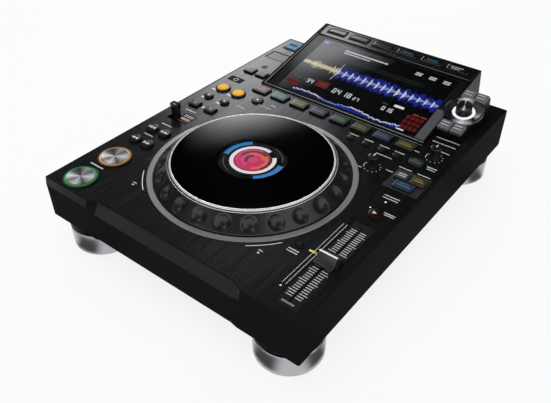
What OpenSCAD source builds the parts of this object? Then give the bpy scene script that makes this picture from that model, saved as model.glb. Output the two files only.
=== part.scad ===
// Tabletop DJ media player: a flat case on four round feet, with a large jog wheel, a sloping
// screen with a rotary selector beside it, and two columns of keys.
// Origin: middle of the footprint, at the height that the feet stand on. +Y points to the rear.

/* [Case] */
// Width of the case
body_w = 329; // [325:1:345]
// Depth of the case's top, front edge to rear edge
body_d = 424; // [422:1:434]
// Height of the control panel above the table
panel_z = 85.4; // [84:0.2:90]
// Height of the case's lower edge above the table
foot_h = 37; // [32:0.5:38]
// Wall of the moulded case
wall = 3; // [2.4:0.1:3.4]
// Thickness of the aluminium control panel
panel_t = 2; // [1.5:0.1:2.5]
// Thickness of the moulded deck under the panel
deck_t = 3; // [2.4:0.1:3.6]
// Width of the case's rim beside the panel
rim_w = 1.6; // [1.2:0.1:2.2]
// Bevel of the case's upright corners
corner_bevel = 1.4; // [0.8:0.1:2.5]
// Depth of the socket box behind the case
box_d = 21.2; // [19:0.1:24]
// Reach of the round jacks behind the rear panel
jack_proud = 6.3; // [4:0.1:8]

/* [Front edge] */
// Depth of the narrow bevel along the front edge
bevel_d = 2.4; // [1.5:0.1:2.8]
// Height of the narrow bevel along the front edge
bevel_h = 9.5; // [8:0.5:11]
// Depth of the wide scoop in the middle of the front edge
scoop_d = 7.5; // [5:0.1:8]
// Height of the wide scoop
scoop_h = 12.5; // [10:0.5:13]
// Length of the scoop's top edge
scoop_w = 177; // [150:1:180]
// Length of each of the scoop's slanting ends
scoop_end = 11.5; // [8:0.5:12]
// Rise of the case's lower edge in the middle of the front
arch_h = 2.5; // [1:0.1:3]

/* [Feet] */
// Radius of a foot
foot_r = 34.2; // [30:0.1:35]
// Distance of a foot's middle from the case's side
foot_in_x = 36; // [35:0.5:42]
// Distance of a foot's middle from the case's front or rear edge
foot_in_y = 34.2; // [34.2:0.1:44]
// Height of a foot's black collar
collar_h = 5.5; // [4:0.1:8]

/* [Jog wheel] */
// Distance of the jog wheel's centre from the front edge
jog_from_front = 140.8; // [140:0.2:144]
// Outer radius of the fixed ring around the wheel
ring_r = 110.7; // [109:0.1:112]
// Outer radius of the turning wheel
wheel_r = 103.5; // [101:0.1:103.6]
// Radius of the glass top plate
plate_r = 86; // [84:0.1:86.5]
// Height of the glass plate's face above the panel
plate_rise = 17.7; // [16:0.1:20]
// Number of finger dimples
dimples = 24; // [16:1:28]
// Radius of the sphere that cuts a dimple
dimple_r = 13; // [11:0.1:14]
// Radius of the fixed round display
jog_display_r = 38.5; // [36:0.1:38.8]

/* [Display] */
// Angle of the display to the panel
slope = 12.14; // [11:0.1:12.5]
// Distance of the display hood from the front edge of the case
hood_from_front = 293.5; // [293:0.5:295]
// Height of the display's front edge above the panel
hood_lip = 1.6; // [1.4:0.1:2]
// Width of the hood's frame on the left of the screen
frame_left = 20; // [18:0.5:21]
// Width of the hood's frame on the right of the screen
frame_right = 14; // [12:0.5:14]
// Width of the screen's lit area
screen_w = 197; // [190:1:200]
// Middle of the screen, from the middle of the case
screen_x = 5.5; // [4:0.5:6]

/* [Rotary pod] */
// Width of the pod
pod_w = 31.2; // [30:0.1:32]
// Distance of the pod's front from the display's front, up the slope
pod_start = 29.5; // [28:0.5:31]
// Length of the pod, up the slope
pod_len = 76; // [74:0.5:78]
// Radius of the dish around the selector
dish_r = 22.2; // [21:0.1:23]
// Height of the dish above the pod
dish_h = 4.5; // [3:0.1:5.5]
// Radius of the selector knob
selector_r = 9; // [8:0.1:10]
// Height of the selector knob
selector_h = 10; // [8:0.1:12]

/* [Keys] */
// Gap between a key and the edge of its opening
key_gap = 0.35; // [0.25:0.05:0.5]
// Height of a key above the panel
key_rise = 2.5; // [2:0.1:3.5]
// Travel of a key
key_travel = 1.2; // [0.6:0.1:1.4]
// Lip that holds a key under the deck
key_lip = 0.8; // [0.6:0.1:0.9]
// Radius of the play and cue buttons
transport_r = 18.2; // [16:0.1:18.3]
// Travel of the play and cue buttons
transport_travel = 1.5; // [1:0.1:1.6]
// Width of a hot cue key
cue_key_w = 21.5; // [18:0.5:24]
// Depth of a hot cue key
cue_key_d = 15; // [13:0.5:15.5]
// Distance between hot cue keys
cue_pitch = 29.4; // [28.5:0.1:29.5]
// Radius of the search and track buttons
search_r = 7.5; // [6:0.1:7.8]
// Radius of the loop buttons
loop_r = 9.6; // [8:0.1:10]

/* [Tempo fader] */
// Travel of the fader
fader_travel = 100; // [90:1:102]
// Width of the fader cap
cap_w = 20; // [16:0.5:21]
// Length of the fader cap along its travel
cap_d = 20; // [16:0.5:21]
// Height of the fader cap
cap_h = 9.5; // [8:0.1:12]
// Depth of the scale's recess in the panel
recess_t = 0.5; // [0.3:0.1:0.8]

/* [Knobs] */
// Radius of the small knobs
knob_r = 6; // [5:0.1:7]
// Height of the small knobs
knob_h = 14; // [10:0.5:16]
// Radial clearance of a running fit
run_fit = 0.05; // [0.03:0.01:0.08]

/* [Hidden] */

$fn = 48;
eps = 0.01;

// Case levels and edges
rear_t = 1.5;
overall_d = body_d + box_d + rear_t + jack_proud;
front = -overall_d / 2;
rear = front + body_d;
side = body_w / 2;
deck_top = panel_z - panel_t;
deck_bottom = deck_top - deck_t;
base_t = 2;
base_top = foot_h + base_t;
fit_gap = 0.3;

// Jog levels
jog_y = front + jog_from_front;
ring_inner = wheel_r + 1;
ring_skirt = 2.3;
ring_t = 0.9;
jog_floor = deck_bottom - 14.4;
jog_floor_t = 4;
plate_z = panel_z + plate_rise;
plate_t = 2;
web_t = 4;
web_top = plate_z - plate_t;
post_r = 36;
bearing_r = 46;
bearing_h = 8;
bearing_z = jog_floor + 4;
hub_bottom = bearing_z - 1;
hub_t = 4;
rim_band = 2.3;
display_top = web_top - 1.3;
display_bottom = display_top - 3.2;

// The wheel's slanting ring, from skirt_top at its outer edge up to web_top
skirt_top = panel_z + 2.1;
ring_slope = atan2(web_top - skirt_top, wheel_r - plate_r - rim_band);
dimple_mid = [(wheel_r + plate_r + rim_band) / 2, (web_top + skirt_top) / 2];
dimple_depth = 3;
dimple_at = dimple_mid + (dimple_r - dimple_depth) * [sin(ring_slope), cos(ring_slope)];

// Display levels: positions on the slope are (x, s, n), s up the slope, n out of the face
hood_y = front + hood_from_front;
hood_left = screen_x - screen_w / 2 - frame_left;
hood_right = screen_x + screen_w / 2 + frame_right;
lip_z = panel_z + hood_lip;
box_y = rear + box_d;
hood_top_y = box_y - 7.3;
hood_len = (hood_top_y - hood_y) / cos(slope);
hood_top_z = lip_z + hood_len * sin(slope);
box_bottom = foot_h + 11;
plate_edge = 12;
glass_t = 1.5;
glass_left = hood_left + 6;
glass_right = hood_right - 0.6;
glass_s0 = 3;
glass_s1 = hood_len - 26.7;
glass_border = 3.5;
screen_h = glass_s1 - glass_s0 - 2 * glass_border;
screen_s = glass_s0 + glass_border + 0.5 + screen_h / 2;
lcd_t = 5;
lcd_border = 3;
lcd_w = screen_w + 2 * lcd_border;
lcd_d = screen_h + 2 * lcd_border;
strip_s0 = glass_s1 + 3;
strip_s1 = hood_len - 2.2;
strip_t = 1.6;
strip_travel = 0.6;
strip_pitch = 35.6;
strip_key = [28, 12];
strip_key_rise = 0.6;

// Pod
pod_left = hood_right + fit_gap;
pod_x = pod_left + pod_w / 2;
pod_mid = pod_start + pod_len / 2;
pod_wall = 2.5;
dish_floor = 1.4;
pod_key_w = (pod_w - 2.6) / 2;
pod_key_d = 15.5;
pod_key_rise = 3;
shaft_r = 3;
press_travel = 0.8;

// Left column, measured from the case's left side
transport_x = -side + 31;
play_y = front + 23;
cue_y = play_y + 45.5;
search_y = cue_y + 37.7;
track_y = search_y + 26.8;
lever_y = track_y + 40.1;
jump_y = lever_y + 31;
beat_y = jump_y + 23.8;
loop_y = beat_y + 26.2;
usb_y = rear - 18.8;
source_share = 0.3825;
source_y = loop_y + source_share * (usb_y - loop_y);
sd_share = 0.7525;
sd_y = loop_y + sd_share * (usb_y - loop_y);
search_x = [-side + 21.3, -side + 40.2];
jump_x = [-side + 20.7, -side + 45.5];
beat_x = [-side + 20.7, -side + 46.5];
loop_x = [-side + 21.3, -side + 46.1];
source_x = [-side + 18.2, -side + 37.6];
beat_r = 6;
lever_x = -side + 19;
sd_x = -side + 22.8;
usb_x = -side + 19.5;

// Rows behind the wheel
cue_row_y = hood_y - 13.6;
cue_row_x = 1.8;
delete_x = -88.8;
memory_y = cue_row_y - 22.7;
memory_x = [46.6, 66.5, 86.4, 105.3];
memory_r = 4.5;
delete_r = 7.5;

// Right column, measured from the case's right side
fader_x = side - 25;
fader_y = front + 75.9;
range_pos = [ring_r - 3.8, fader_y + 2.7];
range_r = 4;
tempo_pos = [fader_x - 1.1, fader_y + 81.3];
tempo_r = 7;
master_pos = [fader_x - 0.1, fader_y + 136.6];
sync_pos = [fader_x - 10.1, fader_y + 151.6];
key_sync_pos = [fader_x + 8.8, fader_y + 152.3];
jog_mode_pos = [fader_x - 10.1, fader_y + 181.7];
vinyl_pos = [95, jog_y + 83.2];
adjust_pos = [fader_x + 0.5, fader_y + 203.1];

// Key shapes: [width, depth, corner radius]
square_key = [13.5, 12, 1];
source_key = [15, 13, 1];
sync_key_size = [15, 13, 1];
key_sync_size = [17, 15, 2];
master_size = [22, 13, 1];
jog_mode_size = [17, 14, 6];
hot_cue_size = [cue_key_w, cue_key_d, 1];

// Key stems and the key board below them
lip_t = 1.2;
stem_r = 2;
stem_h = 2.6;
lip_gap = 0.1;
board_t = 1.6;
key_board_top = deck_bottom - lip_gap - lip_t - stem_h - transport_travel - fit_gap;
post_tip_r = 3;
post_in = wall + 4.5;
case_posts = concat(
    [for (x = [-1, 1], y = [front + 45.5, jog_y + 50.7]) [x * (side - post_in), y]],
    [[0, memory_y + 7.3], [0, front + scoop_d + 12]]
);

// Fader unit
unit_w = 13;
unit_end = 14;
unit_h = 12;
slot_w = 3;
fader_stem_w = 1.6;
fader_stem_d = 8;
scale_w = 23;
scale_d = 128;

// Lever
lever_w = 9;
lever_d = 7;
lever_pivot = deck_bottom - 9.4;
lever_top = panel_z + 15.5;
lever_angle = 24;
lever_axle_r = 2.5;
lever_arm_t = 3;
lever_reach = (panel_z - lever_pivot) * tan(lever_angle);

// Memory card door
sd_w = 30;
sd_d = 19;
sd_t = 1.7;
sd_pin_r = 0.7;
sd_slot_w = 25;
sd_slot_d = 2.8;
sd_block_h = 18;
sd_drop = 0.1;
sd_hinge_y = sd_y + sd_d / 2 - 1;
sd_hinge_z = deck_top + sd_drop + sd_t / 2;
usb_w = 20;
usb_rise = 2;

// Rear sockets
socket_z = (box_bottom + panel_z) / 2;
rear_y = box_y;
rear_face = rear_y + rear_t;
jack_r = 4.15;
jack_x = [-45, -74, -92];
lan_x = 34;
data_x = 8;
remote_x = -20;
inlet_x = 66;
rocker_x = 97;
rocker_w = 12;
rocker_h = 18;
rocker_angle = 8;
rocker_in = 6;
rocker_axle_r = 1.5;
inlet_size = [24, 16];
lan_size = [11.7, 8.3];
data_size = [8.5, 7.9];
socket_depth = 14;

// Base screws
screw_r = 1.4;
screw_len = 10;
boss_w = 8;
boss_in = wall + boss_w / 2 + 1;
screw_places = [
    [-side + boss_in, jog_y + 15.7], [-side + boss_in, rear - 107.5],
    [side - boss_in, jog_y + 15.7], [side - boss_in, rear - 107.5],
    [-side / 3, rear - boss_in], [side / 3, rear - boss_in]
];

// Inside
standoff_h = 3;
supply_size = [86, 100];
supply_pos = [-side + wall + supply_size[0] / 2 + 20.5, rear - wall - supply_size[1] / 2 - 26.5];
main_board_size = [170, 150];
board_gap = 10;
main_board_pos = [
    supply_pos[0] + (supply_size[0] + main_board_size[0]) / 2 + board_gap,
    (front + rear) / 2 + 24.5
];
standoff_in = 6;
board_standoffs = [for (x = [-1, 1], y = [-1, 1]) main_board_pos
    + [x * (main_board_size[0] / 2 - standoff_in), y * (main_board_size[1] / 2 - standoff_in)]];
supply_standoffs = [for (x = [-1, 1], y = [-1, 1]) supply_pos
    + [x * (supply_size[0] / 2 - standoff_in), y * (supply_size[1] / 2 - standoff_in)]];

// Parts on the boards: [x, y, width, depth, height]
main_parts = [[0, -20, 30, 30, 6], [45, 25, 18, 18, 2], [-45, 25, 24, 12, 3]];
supply_parts = [[0, 18, 30, 26, 16], [20, -25, 12, 34, 14]];
capacitor_pos = [-25, -25];
capacitor_r = 9;
capacitor_h = 18;

// Posts under the jog wheel's floor
floor_post_r = 4;
floor_posts = [for (a = [150, 210, 270, 330])
    [0, jog_y] + (ring_inner + ring_skirt - 2 * floor_post_r - 2) * [cos(a), sin(a)]];

// ---------- helpers ----------

// An upright plate with round corners, its lower face at z = 0
module slab(w, d, h, r) {
    r_in = min(r, w / 2 - eps, d / 2 - eps);
    translate([-w / 2 + r_in, -d / 2, 0]) cube([w - 2 * r_in, d, h]);
    translate([-w / 2, -d / 2 + r_in, 0]) cube([w, d - 2 * r_in, h]);
    for (x = [-1, 1], y = [-1, 1])
        translate([x * (w / 2 - r_in), y * (d / 2 - r_in), 0]) cylinder(h = h, r = r_in);
}

module ring(r_out, r_in, h) {
    difference() {
        cylinder(h = h, r = r_out);
        translate([0, 0, -1]) cylinder(h = h + 2, r = r_in);
    }
}

// A box given by its lowest and highest corners
module span(low, high) {
    translate(low) cube(high - low);
}

// Places things on the display's face: x across, y up the slope, z out of the face
module on_slope(x = 0, s = 0, n = 0) {
    translate([0, hood_y, lip_z]) rotate([slope, 0, 0]) translate([x, s, n]) children();
}

module at_feet() {
    for (x = [-1, 1], y = [front + foot_in_y, rear - foot_in_y])
        translate([x * (side - foot_in_x), y, 0]) children();
}

// A rectangular key with its lip and stem; it fills its opening but for key_gap
module key(pos, size, rise = key_rise) {
    translate([pos[0], pos[1], deck_bottom - lip_gap])
        slab(size[0], size[1], panel_z + rise - deck_bottom + lip_gap, size[2]);
    translate([pos[0], pos[1], deck_bottom - lip_gap - lip_t])
        slab(size[0] + 2 * key_lip, size[1] + 2 * key_lip, lip_t, size[2]);
    key_stem(pos);
}

module round_key(pos, r, rise = key_rise) {
    translate([pos[0], pos[1], deck_bottom - lip_gap])
        cylinder(h = panel_z + rise - deck_bottom + lip_gap, r = r);
    translate([pos[0], pos[1], deck_bottom - lip_gap - lip_t]) cylinder(h = lip_t, r = r + key_lip);
    key_stem(pos);
}

module key_stem(pos) {
    translate([pos[0], pos[1], deck_bottom - lip_gap - lip_t - stem_h])
        cylinder(h = stem_h + eps, r = stem_r);
}

module key_hole(pos, size) {
    translate([pos[0], pos[1], deck_bottom - 1])
        slab(size[0] + 2 * key_gap, size[1] + 2 * key_gap, panel_t + deck_t + 2, size[2] + key_gap);
}

module round_hole(pos, r) {
    translate([pos[0], pos[1], deck_bottom - 1]) cylinder(h = panel_t + deck_t + 2, r = r);
}

function cue_x(i) = cue_row_x + (i - 3.5) * cue_pitch;

// Every opening that goes through both the panel and the deck
module control_openings() {
    translate([0, jog_y, deck_bottom - 1])
        cylinder(h = panel_t + deck_t + 2, r = ring_inner + ring_skirt + fit_gap);
    for (y = [play_y, cue_y]) round_hole([transport_x, y], transport_r + key_gap);
    for (x = search_x, y = [search_y, track_y]) round_hole([x, y], search_r + key_gap);
    for (x = beat_x) round_hole([x, beat_y], beat_r + key_gap);
    for (x = loop_x) round_hole([x, loop_y], loop_r + key_gap);
    for (x = jump_x) key_hole([x, jump_y], square_key);
    for (x = source_x) key_hole([x, source_y], source_key);
    for (i = [0:7]) key_hole([cue_x(i), cue_row_y], hot_cue_size);
    round_hole([delete_x, memory_y - 1], delete_r + key_gap);
    for (x = memory_x) round_hole([x, memory_y], memory_r + key_gap);
    key_hole(jog_mode_pos, jog_mode_size);
    key_hole(sync_pos, sync_key_size);
    key_hole(key_sync_pos, key_sync_size);
    key_hole(master_pos, master_size);
    round_hole(tempo_pos, tempo_r + key_gap);
    round_hole(range_pos, range_r + key_gap);
    round_hole(vinyl_pos, shaft_r + run_fit);
    round_hole(adjust_pos, shaft_r + run_fit);
    fader_slot();
    lever_slot();
    span([usb_x - usb_w / 2 - fit_gap, usb_y - usb_w / 2 - fit_gap, deck_bottom - 1],
         [usb_x + usb_w / 2 + fit_gap, usb_y + usb_w / 2 + fit_gap, panel_z + 1]);
}

module fader_slot() {
    half = (fader_travel + fader_stem_d) / 2 + 0.6;
    span([fader_x - slot_w / 2, fader_y - half, deck_bottom - 1],
         [fader_x + slot_w / 2, fader_y + half, panel_z + 1]);
}

module lever_slot() {
    span([lever_x - lever_w / 2 - 0.5, lever_y - lever_d / 2 - lever_reach - 1.5, deck_bottom - 1],
         [lever_x + lever_w / 2 + 0.5, lever_y + lever_d / 2 + 0.5, panel_z + 1]);
}

// Outline of the case, seen from above
module case_outline(inset = 0) {
    x = side - inset;
    low = front + inset;
    high = rear - inset;
    c = max(corner_bevel - inset / 2, 0.1);
    polygon([
        [-x + c, low], [x - c, low], [x, low + c], [x, high - c],
        [x - c, high], [-x + c, high], [-x, high - c], [-x, low + c]
    ]);
}

// Outline of the control panel; it steps back behind the scoop
module panel_outline(grow = 0) {
    x = side - rim_w + grow;
    ends = front + bevel_d + 0.6 - grow;
    middle = front + scoop_d + 1 - grow;
    high = rear - rim_w + grow;
    inner = scoop_w / 2 + 1 + grow;
    outer = inner + scoop_end;
    polygon([
        [-x, ends], [-outer, ends], [-inner, middle], [inner, middle], [outer, ends],
        [x, ends], [x, high], [-x, high]
    ]);
}

// A wedge along the front edge: d deep at the top, h high
module front_wedge(length, d, h) {
    translate([-length / 2, 0, 0]) rotate([90, 0, 90]) linear_extrude(length)
        polygon([
            [front + d, panel_z], [front + d, panel_z + 1], [front - 1, panel_z + 1],
            [front - 1, panel_z - h], [front, panel_z - h]
        ]);
}

// ---------- case ----------

module upper_case() color("#2c2d30") difference() {
    union() {
        case_shell();
        for (p = case_posts) translate([p[0], p[1], key_board_top])
            cylinder(h = deck_bottom - key_board_top + 1, r = post_tip_r);
        sd_block();
        lever_arms();
        screw_bosses();
    }
    for (p = screw_places) translate([p[0], p[1], base_top - 1])
        cylinder(h = screw_len, r = screw_r + run_fit);
    control_openings();
    deck_openings();
    front_wedge(body_w + 2, bevel_d, bevel_h);
    hull() {
        front_wedge(scoop_w, scoop_d, scoop_h);
        front_wedge(scoop_w + 2 * scoop_end, bevel_d, bevel_h);
    }
    front_arch();
    rear_cable_opening();
}

module case_shell() {
    difference() {
        translate([0, 0, foot_h]) linear_extrude(panel_z - foot_h) case_outline();
        translate([0, 0, foot_h - 1]) linear_extrude(deck_bottom - foot_h + 1) case_outline(wall);
        translate([0, 0, deck_top]) linear_extrude(panel_t + 1) panel_outline(0.15);
    }
    bar = scoop_w / 2 + scoop_end + 2;
    span([-bar, front + wall - 0.5, deck_bottom - 11], [bar, front + scoop_d + 3, deck_bottom + 1]);
}

// The deck is open below the screen, the card door's slot and the rim behind the hood
module deck_openings() {
    span([hood_left + wall, hood_y + wall, deck_bottom - 1],
         [hood_right - wall, rear - 9, panel_z + 1]);
    span([hood_left - fit_gap, hood_y - fit_gap, deck_top],
         [hood_right + fit_gap, rear + 1, panel_z + 1]);
    span([sd_x - sd_slot_w / 2, sd_y - sd_slot_d / 2, deck_bottom - sd_block_h + 2],
         [sd_x + sd_slot_w / 2, sd_y + sd_slot_d / 2, panel_z + 1]);
}

module sd_block() {
    span([sd_x - sd_slot_w / 2 - 2, sd_y - 4, deck_bottom - sd_block_h],
         [sd_x + sd_slot_w / 2 + 2, sd_y + 4, deck_bottom + 1]);
}

// Bosses that the base plate is screwed to; each reaches 1 mm into the wall beside it
module screw_bosses() {
    reach = boss_in - 1 - boss_w / 2;
    for (p = screw_places) {
        to_side = abs(p[0]) > side - boss_in - 1;
        shift = to_side ? [sign(p[0]) * reach / 2, 0] : [0, reach / 2];
        size = to_side ? [boss_w + reach, boss_w] : [boss_w, boss_w + reach];
        translate([p[0] + shift[0], p[1] + shift[1], base_top]) slab(size[0], size[1], screw_len, 0.5);
    }
}

// Two arms under the deck carry the lever's axle
module lever_arms() {
    for (x = [-1, 1]) difference() {
        translate([lever_x + x * (lever_w / 2 + fit_gap + lever_arm_t / 2), lever_y, 0])
            span([-lever_arm_t / 2, -5, lever_pivot - 4], [lever_arm_t / 2, 5, deck_bottom + 1]);
        translate([lever_x - 20, lever_y, lever_pivot]) rotate([0, 90, 0])
            cylinder(h = 40, r = lever_axle_r + run_fit);
    }
}

module front_arch() {
    half = scoop_w / 2;
    translate([0, front + wall + 1, 0]) rotate([90, 0, 0]) linear_extrude(wall + 3)
        polygon([
            [-half - 7, foot_h - 1], [-half - 7, foot_h], [-half, foot_h + arch_h],
            [half, foot_h + arch_h], [half + 7, foot_h], [half + 7, foot_h - 1]
        ]);
}

module rear_cable_opening() {
    span([hood_left + 13, rear - wall - 1, box_bottom + 4],
         [hood_right - 13, rear + 1, deck_bottom - 3]);
}

module control_panel() color("#3a3b3f") difference() {
    translate([0, 0, deck_top]) linear_extrude(panel_t) panel_outline();
    control_openings();
    span([hood_left - fit_gap, hood_y - fit_gap, deck_top - 1],
         [hood_right + fit_gap, rear + 1, panel_z + 1]);
    span([fader_x - scale_w / 2, fader_y - scale_d / 2, panel_z - recess_t],
         [fader_x + scale_w / 2, fader_y + scale_d / 2, panel_z + 1]);
    sd_opening();
}

module sd_opening() {
    span([sd_x - sd_w / 2 - fit_gap, sd_y - sd_d / 2 - fit_gap, deck_top - 1],
         [sd_x + sd_w / 2 + fit_gap, sd_y + sd_d / 2 + fit_gap, panel_z + 1]);
    translate([sd_x - sd_w / 2 - 1.7, sd_hinge_y, sd_hinge_z]) rotate([0, 90, 0])
        cylinder(h = sd_w + 3.4, r = sd_pin_r + run_fit);
}

module bottom_chassis() color("#55585c") {
    inset = wall + fit_gap;
    difference() {
        translate([0, 0, foot_h]) linear_extrude(base_t) case_outline(inset);
        for (p = screw_places) translate([p[0], p[1], foot_h - 1])
            cylinder(h = base_t + 2, r = screw_r + fit_gap);
    }
    for (p = concat(board_standoffs, supply_standoffs))
        translate([p[0], p[1], base_top - eps]) cylinder(h = standoff_h + eps, r = 3);
    for (p = floor_posts) translate([p[0], p[1], base_top - eps])
        cylinder(h = jog_floor - jog_floor_t - base_top + eps, r = floor_post_r);
}

module case_screws() color("#1b1b1c") for (p = screw_places) translate([p[0], p[1], foot_h]) {
    translate([0, 0, -1.8]) cylinder(h = 1.8, r = 3);
    translate([0, 0, -eps]) cylinder(h = screw_len - 2, r = screw_r);
}

module foot_sleeves() color("#b9bbbd") at_feet()
    translate([0, 0, 2]) ring(foot_r, foot_r - 4, foot_h - collar_h - 2);

module foot_cores() color("#141414") at_feet() {
    cylinder(h = 2, r = foot_r - 3);
    translate([0, 0, 2 - eps]) cylinder(h = foot_h - collar_h - 2 + 2 * eps, r = foot_r - 4.05);
    translate([0, 0, foot_h - collar_h]) cylinder(h = collar_h, r = foot_r);
}

// ---------- display ----------

// Side view of the hood and the socket box behind the case, drawn as [y, z]
module hood_profile() {
    polygon([
        [hood_y, deck_top], [hood_y, lip_z], [hood_top_y, hood_top_z], [box_y, panel_z],
        [box_y, box_bottom], [rear + fit_gap, box_bottom], [rear + fit_gap, deck_top]
    ]);
}

module hood_inner_profile() {
    roof = wall / cos(slope);
    rise = tan(slope);
    y0 = hood_y + wall;
    y1 = hood_top_y - wall;
    polygon([
        [y0, deck_top - 1], [y0, lip_z + wall * rise - roof],
        [y1, lip_z + (y1 - hood_y) * rise - roof], [box_y - wall, panel_z],
        [box_y - wall, box_bottom + wall], [rear - 1, box_bottom + wall], [rear - 1, deck_top - 1]
    ]);
}

module display_housing() color("#35363a") difference() {
    translate([hood_left, 0, 0]) rotate([90, 0, 90])
        linear_extrude(hood_right - hood_left) hood_profile();
    translate([hood_left + wall, 0, 0]) rotate([90, 0, 90])
        linear_extrude(hood_right - hood_left - 2 * wall) hood_inner_profile();
    // seat for the cover glass
    on_slope() span([glass_left - fit_gap, glass_s0 - fit_gap, -glass_t - 0.05],
                    [glass_right + 0.2, glass_s1 + fit_gap, 5]);
    // window for the screen module
    on_slope(screen_x, screen_s) span([-lcd_w / 2 - 0.5, -lcd_d / 2 - 0.5, -12],
                                      [lcd_w / 2 + 0.5, lcd_d / 2 + 0.5, 0]);
    // recess for the key strip
    on_slope() span([glass_left - fit_gap, strip_s0 - fit_gap, -strip_t - strip_travel - 0.1],
                    [glass_right - 4 + fit_gap, strip_s1 + fit_gap, 5]);
    // opening behind the rear panel
    span([hood_left + plate_edge - 2, box_y - wall - 1, box_bottom + 5],
         [hood_right - plate_edge + 2, box_y + 1, panel_z - 5]);
}

module touch_glass() color("#101114") on_slope()
    span([glass_left, glass_s0, -glass_t], [glass_right, glass_s1, 0]);

module lcd_panel() color("#1d2b4a") on_slope(screen_x, screen_s)
    span([-lcd_w / 2, -lcd_d / 2, -glass_t - lcd_t], [lcd_w / 2, lcd_d / 2, -glass_t]);

// A strip of six key tops joined by a thin web
module function_keys() color("#4a4c50") {
    middle = (glass_left + glass_right - 4) / 2;
    on_slope() span([glass_left, strip_s0, -strip_t], [glass_right - 4, strip_s1, 0]);
    for (i = [0:5]) on_slope(middle + (i - 2.5) * strip_pitch, (strip_s0 + strip_s1) / 2 + 1.2, -eps)
        slab(strip_key[0], strip_key[1], strip_key_rise + eps, 1);
}

module rear_panel() color("#303134") difference() {
    union() {
        span([hood_left + plate_edge - 7, rear_y, box_bottom + 1],
             [hood_right - plate_edge + 7, rear_face, panel_z - 1]);
        // ears that carry the rocker's axle
        for (x = [-1, 1]) translate([rocker_x + x * (rocker_w / 2 + fit_gap + 1), 0, 0])
            span([-1, rear_y - 10, socket_z - 4], [1, rear_y + eps, socket_z + 4]);
    }
    translate([rocker_x - 15, rear_y - rocker_in, socket_z]) rotate([0, 90, 0])
        cylinder(h = 30, r = rocker_axle_r + run_fit);
    rear_hole(rocker_x, rocker_w + 0.6, rocker_h + 0.6);
    rear_hole(inlet_x, inlet_size[0] + 4.2, inlet_size[1] + 4.2);
    rear_hole(lan_x, lan_size[0] + 4.2, lan_size[1] + 6.2);
    rear_hole(data_x, data_size[0] + 3.2, data_size[1] + 3.2);
    for (x = concat(jack_x, [remote_x])) translate([x, rear_y - 1, socket_z]) rotate([-90, 0, 0])
        cylinder(h = rear_t + 2, r = jack_r + 0.1);
}

module rear_hole(x, w, h) {
    span([x - w / 2, rear_y - 1, socket_z - h / 2], [x + w / 2, rear_face + 1, socket_z + h / 2]);
}

// A block behind the rear panel with a rectangular mouth
module socket_block(x, mouth, w, h, depth, proud) {
    difference() {
        span([x - w / 2, rear_y - depth, socket_z - h / 2],
             [x + w / 2, rear_face + proud, socket_z + h / 2]);
        span([x - mouth[0] / 2, rear_face - socket_depth + 2, socket_z - mouth[1] / 2],
             [x + mouth[0] / 2, rear_face + proud + 1, socket_z + mouth[1] / 2]);
    }
}

module ac_inlet() color("#17181a") {
    socket_block(inlet_x, inlet_size, inlet_size[0] + 4, inlet_size[1] + 4, 17, 0);
    difference() {
        span([inlet_x - 20, rear_face, socket_z - 12], [inlet_x + 20, rear_face + 2, socket_z + 12]);
        span([inlet_x - inlet_size[0] / 2, rear_face - 1, socket_z - inlet_size[1] / 2],
             [inlet_x + inlet_size[0] / 2, rear_face + 3, socket_z + inlet_size[1] / 2]);
    }
    for (p = [[-7, -2], [0, 2], [7, -2]])
        span([inlet_x + p[0] - 1, rear_face - socket_depth + 1, socket_z + p[1] - 2],
             [inlet_x + p[0] + 1, rear_face - 4, socket_z + p[1] + 2]);
}

module signal_sockets() color("#8d8f92") {
    socket_block(lan_x, lan_size, lan_size[0] + 4, lan_size[1] + 6, 16, 0.5);
    socket_block(data_x, data_size, data_size[0] + 3, data_size[1] + 3, 14, 0.5);
    span([data_x - 2.8, rear_face - socket_depth + 1, socket_z - 1.6],
         [data_x + 2.8, rear_face - 1, socket_z + 1.6]);
    for (x = jack_x) rear_jack(x, jack_proud, 1.6);
    rear_jack(remote_x, 1.5, 1.8);
}

// A round jack: a body behind the panel and a barrel through it
module rear_jack(x, proud, bore_r) {
    translate([x, rear_y, socket_z]) rotate([-90, 0, 0]) difference() {
        union() {
            translate([-7, -7, -14]) cube([14, 14, 14]);
            translate([0, 0, -eps]) cylinder(h = rear_t + proud + eps, r = jack_r);
        }
        translate([0, 0, -8]) cylinder(h = 8 + rear_t + proud + 1, r = bore_r);
    }
}

module power_rocker() color("#101012")
    translate([rocker_x, rear_y - rocker_in, socket_z]) rotate([rocker_angle, 0, 0]) {
        half = rocker_h / 2 - 1.1;
        translate([-rocker_w / 2, 0, 0]) rotate([90, 0, 90]) linear_extrude(rocker_w) polygon([
            [-3, 3 - half], [5, -half], [8.2, -half], [6.6, 0],
            [8.2, half], [5, half], [-3, half - 3]
        ]);
        rotate([0, 90, 0]) cylinder(h = rocker_w + 4, r = rocker_axle_r, center = true);
    }

// ---------- rotary pod ----------

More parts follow.
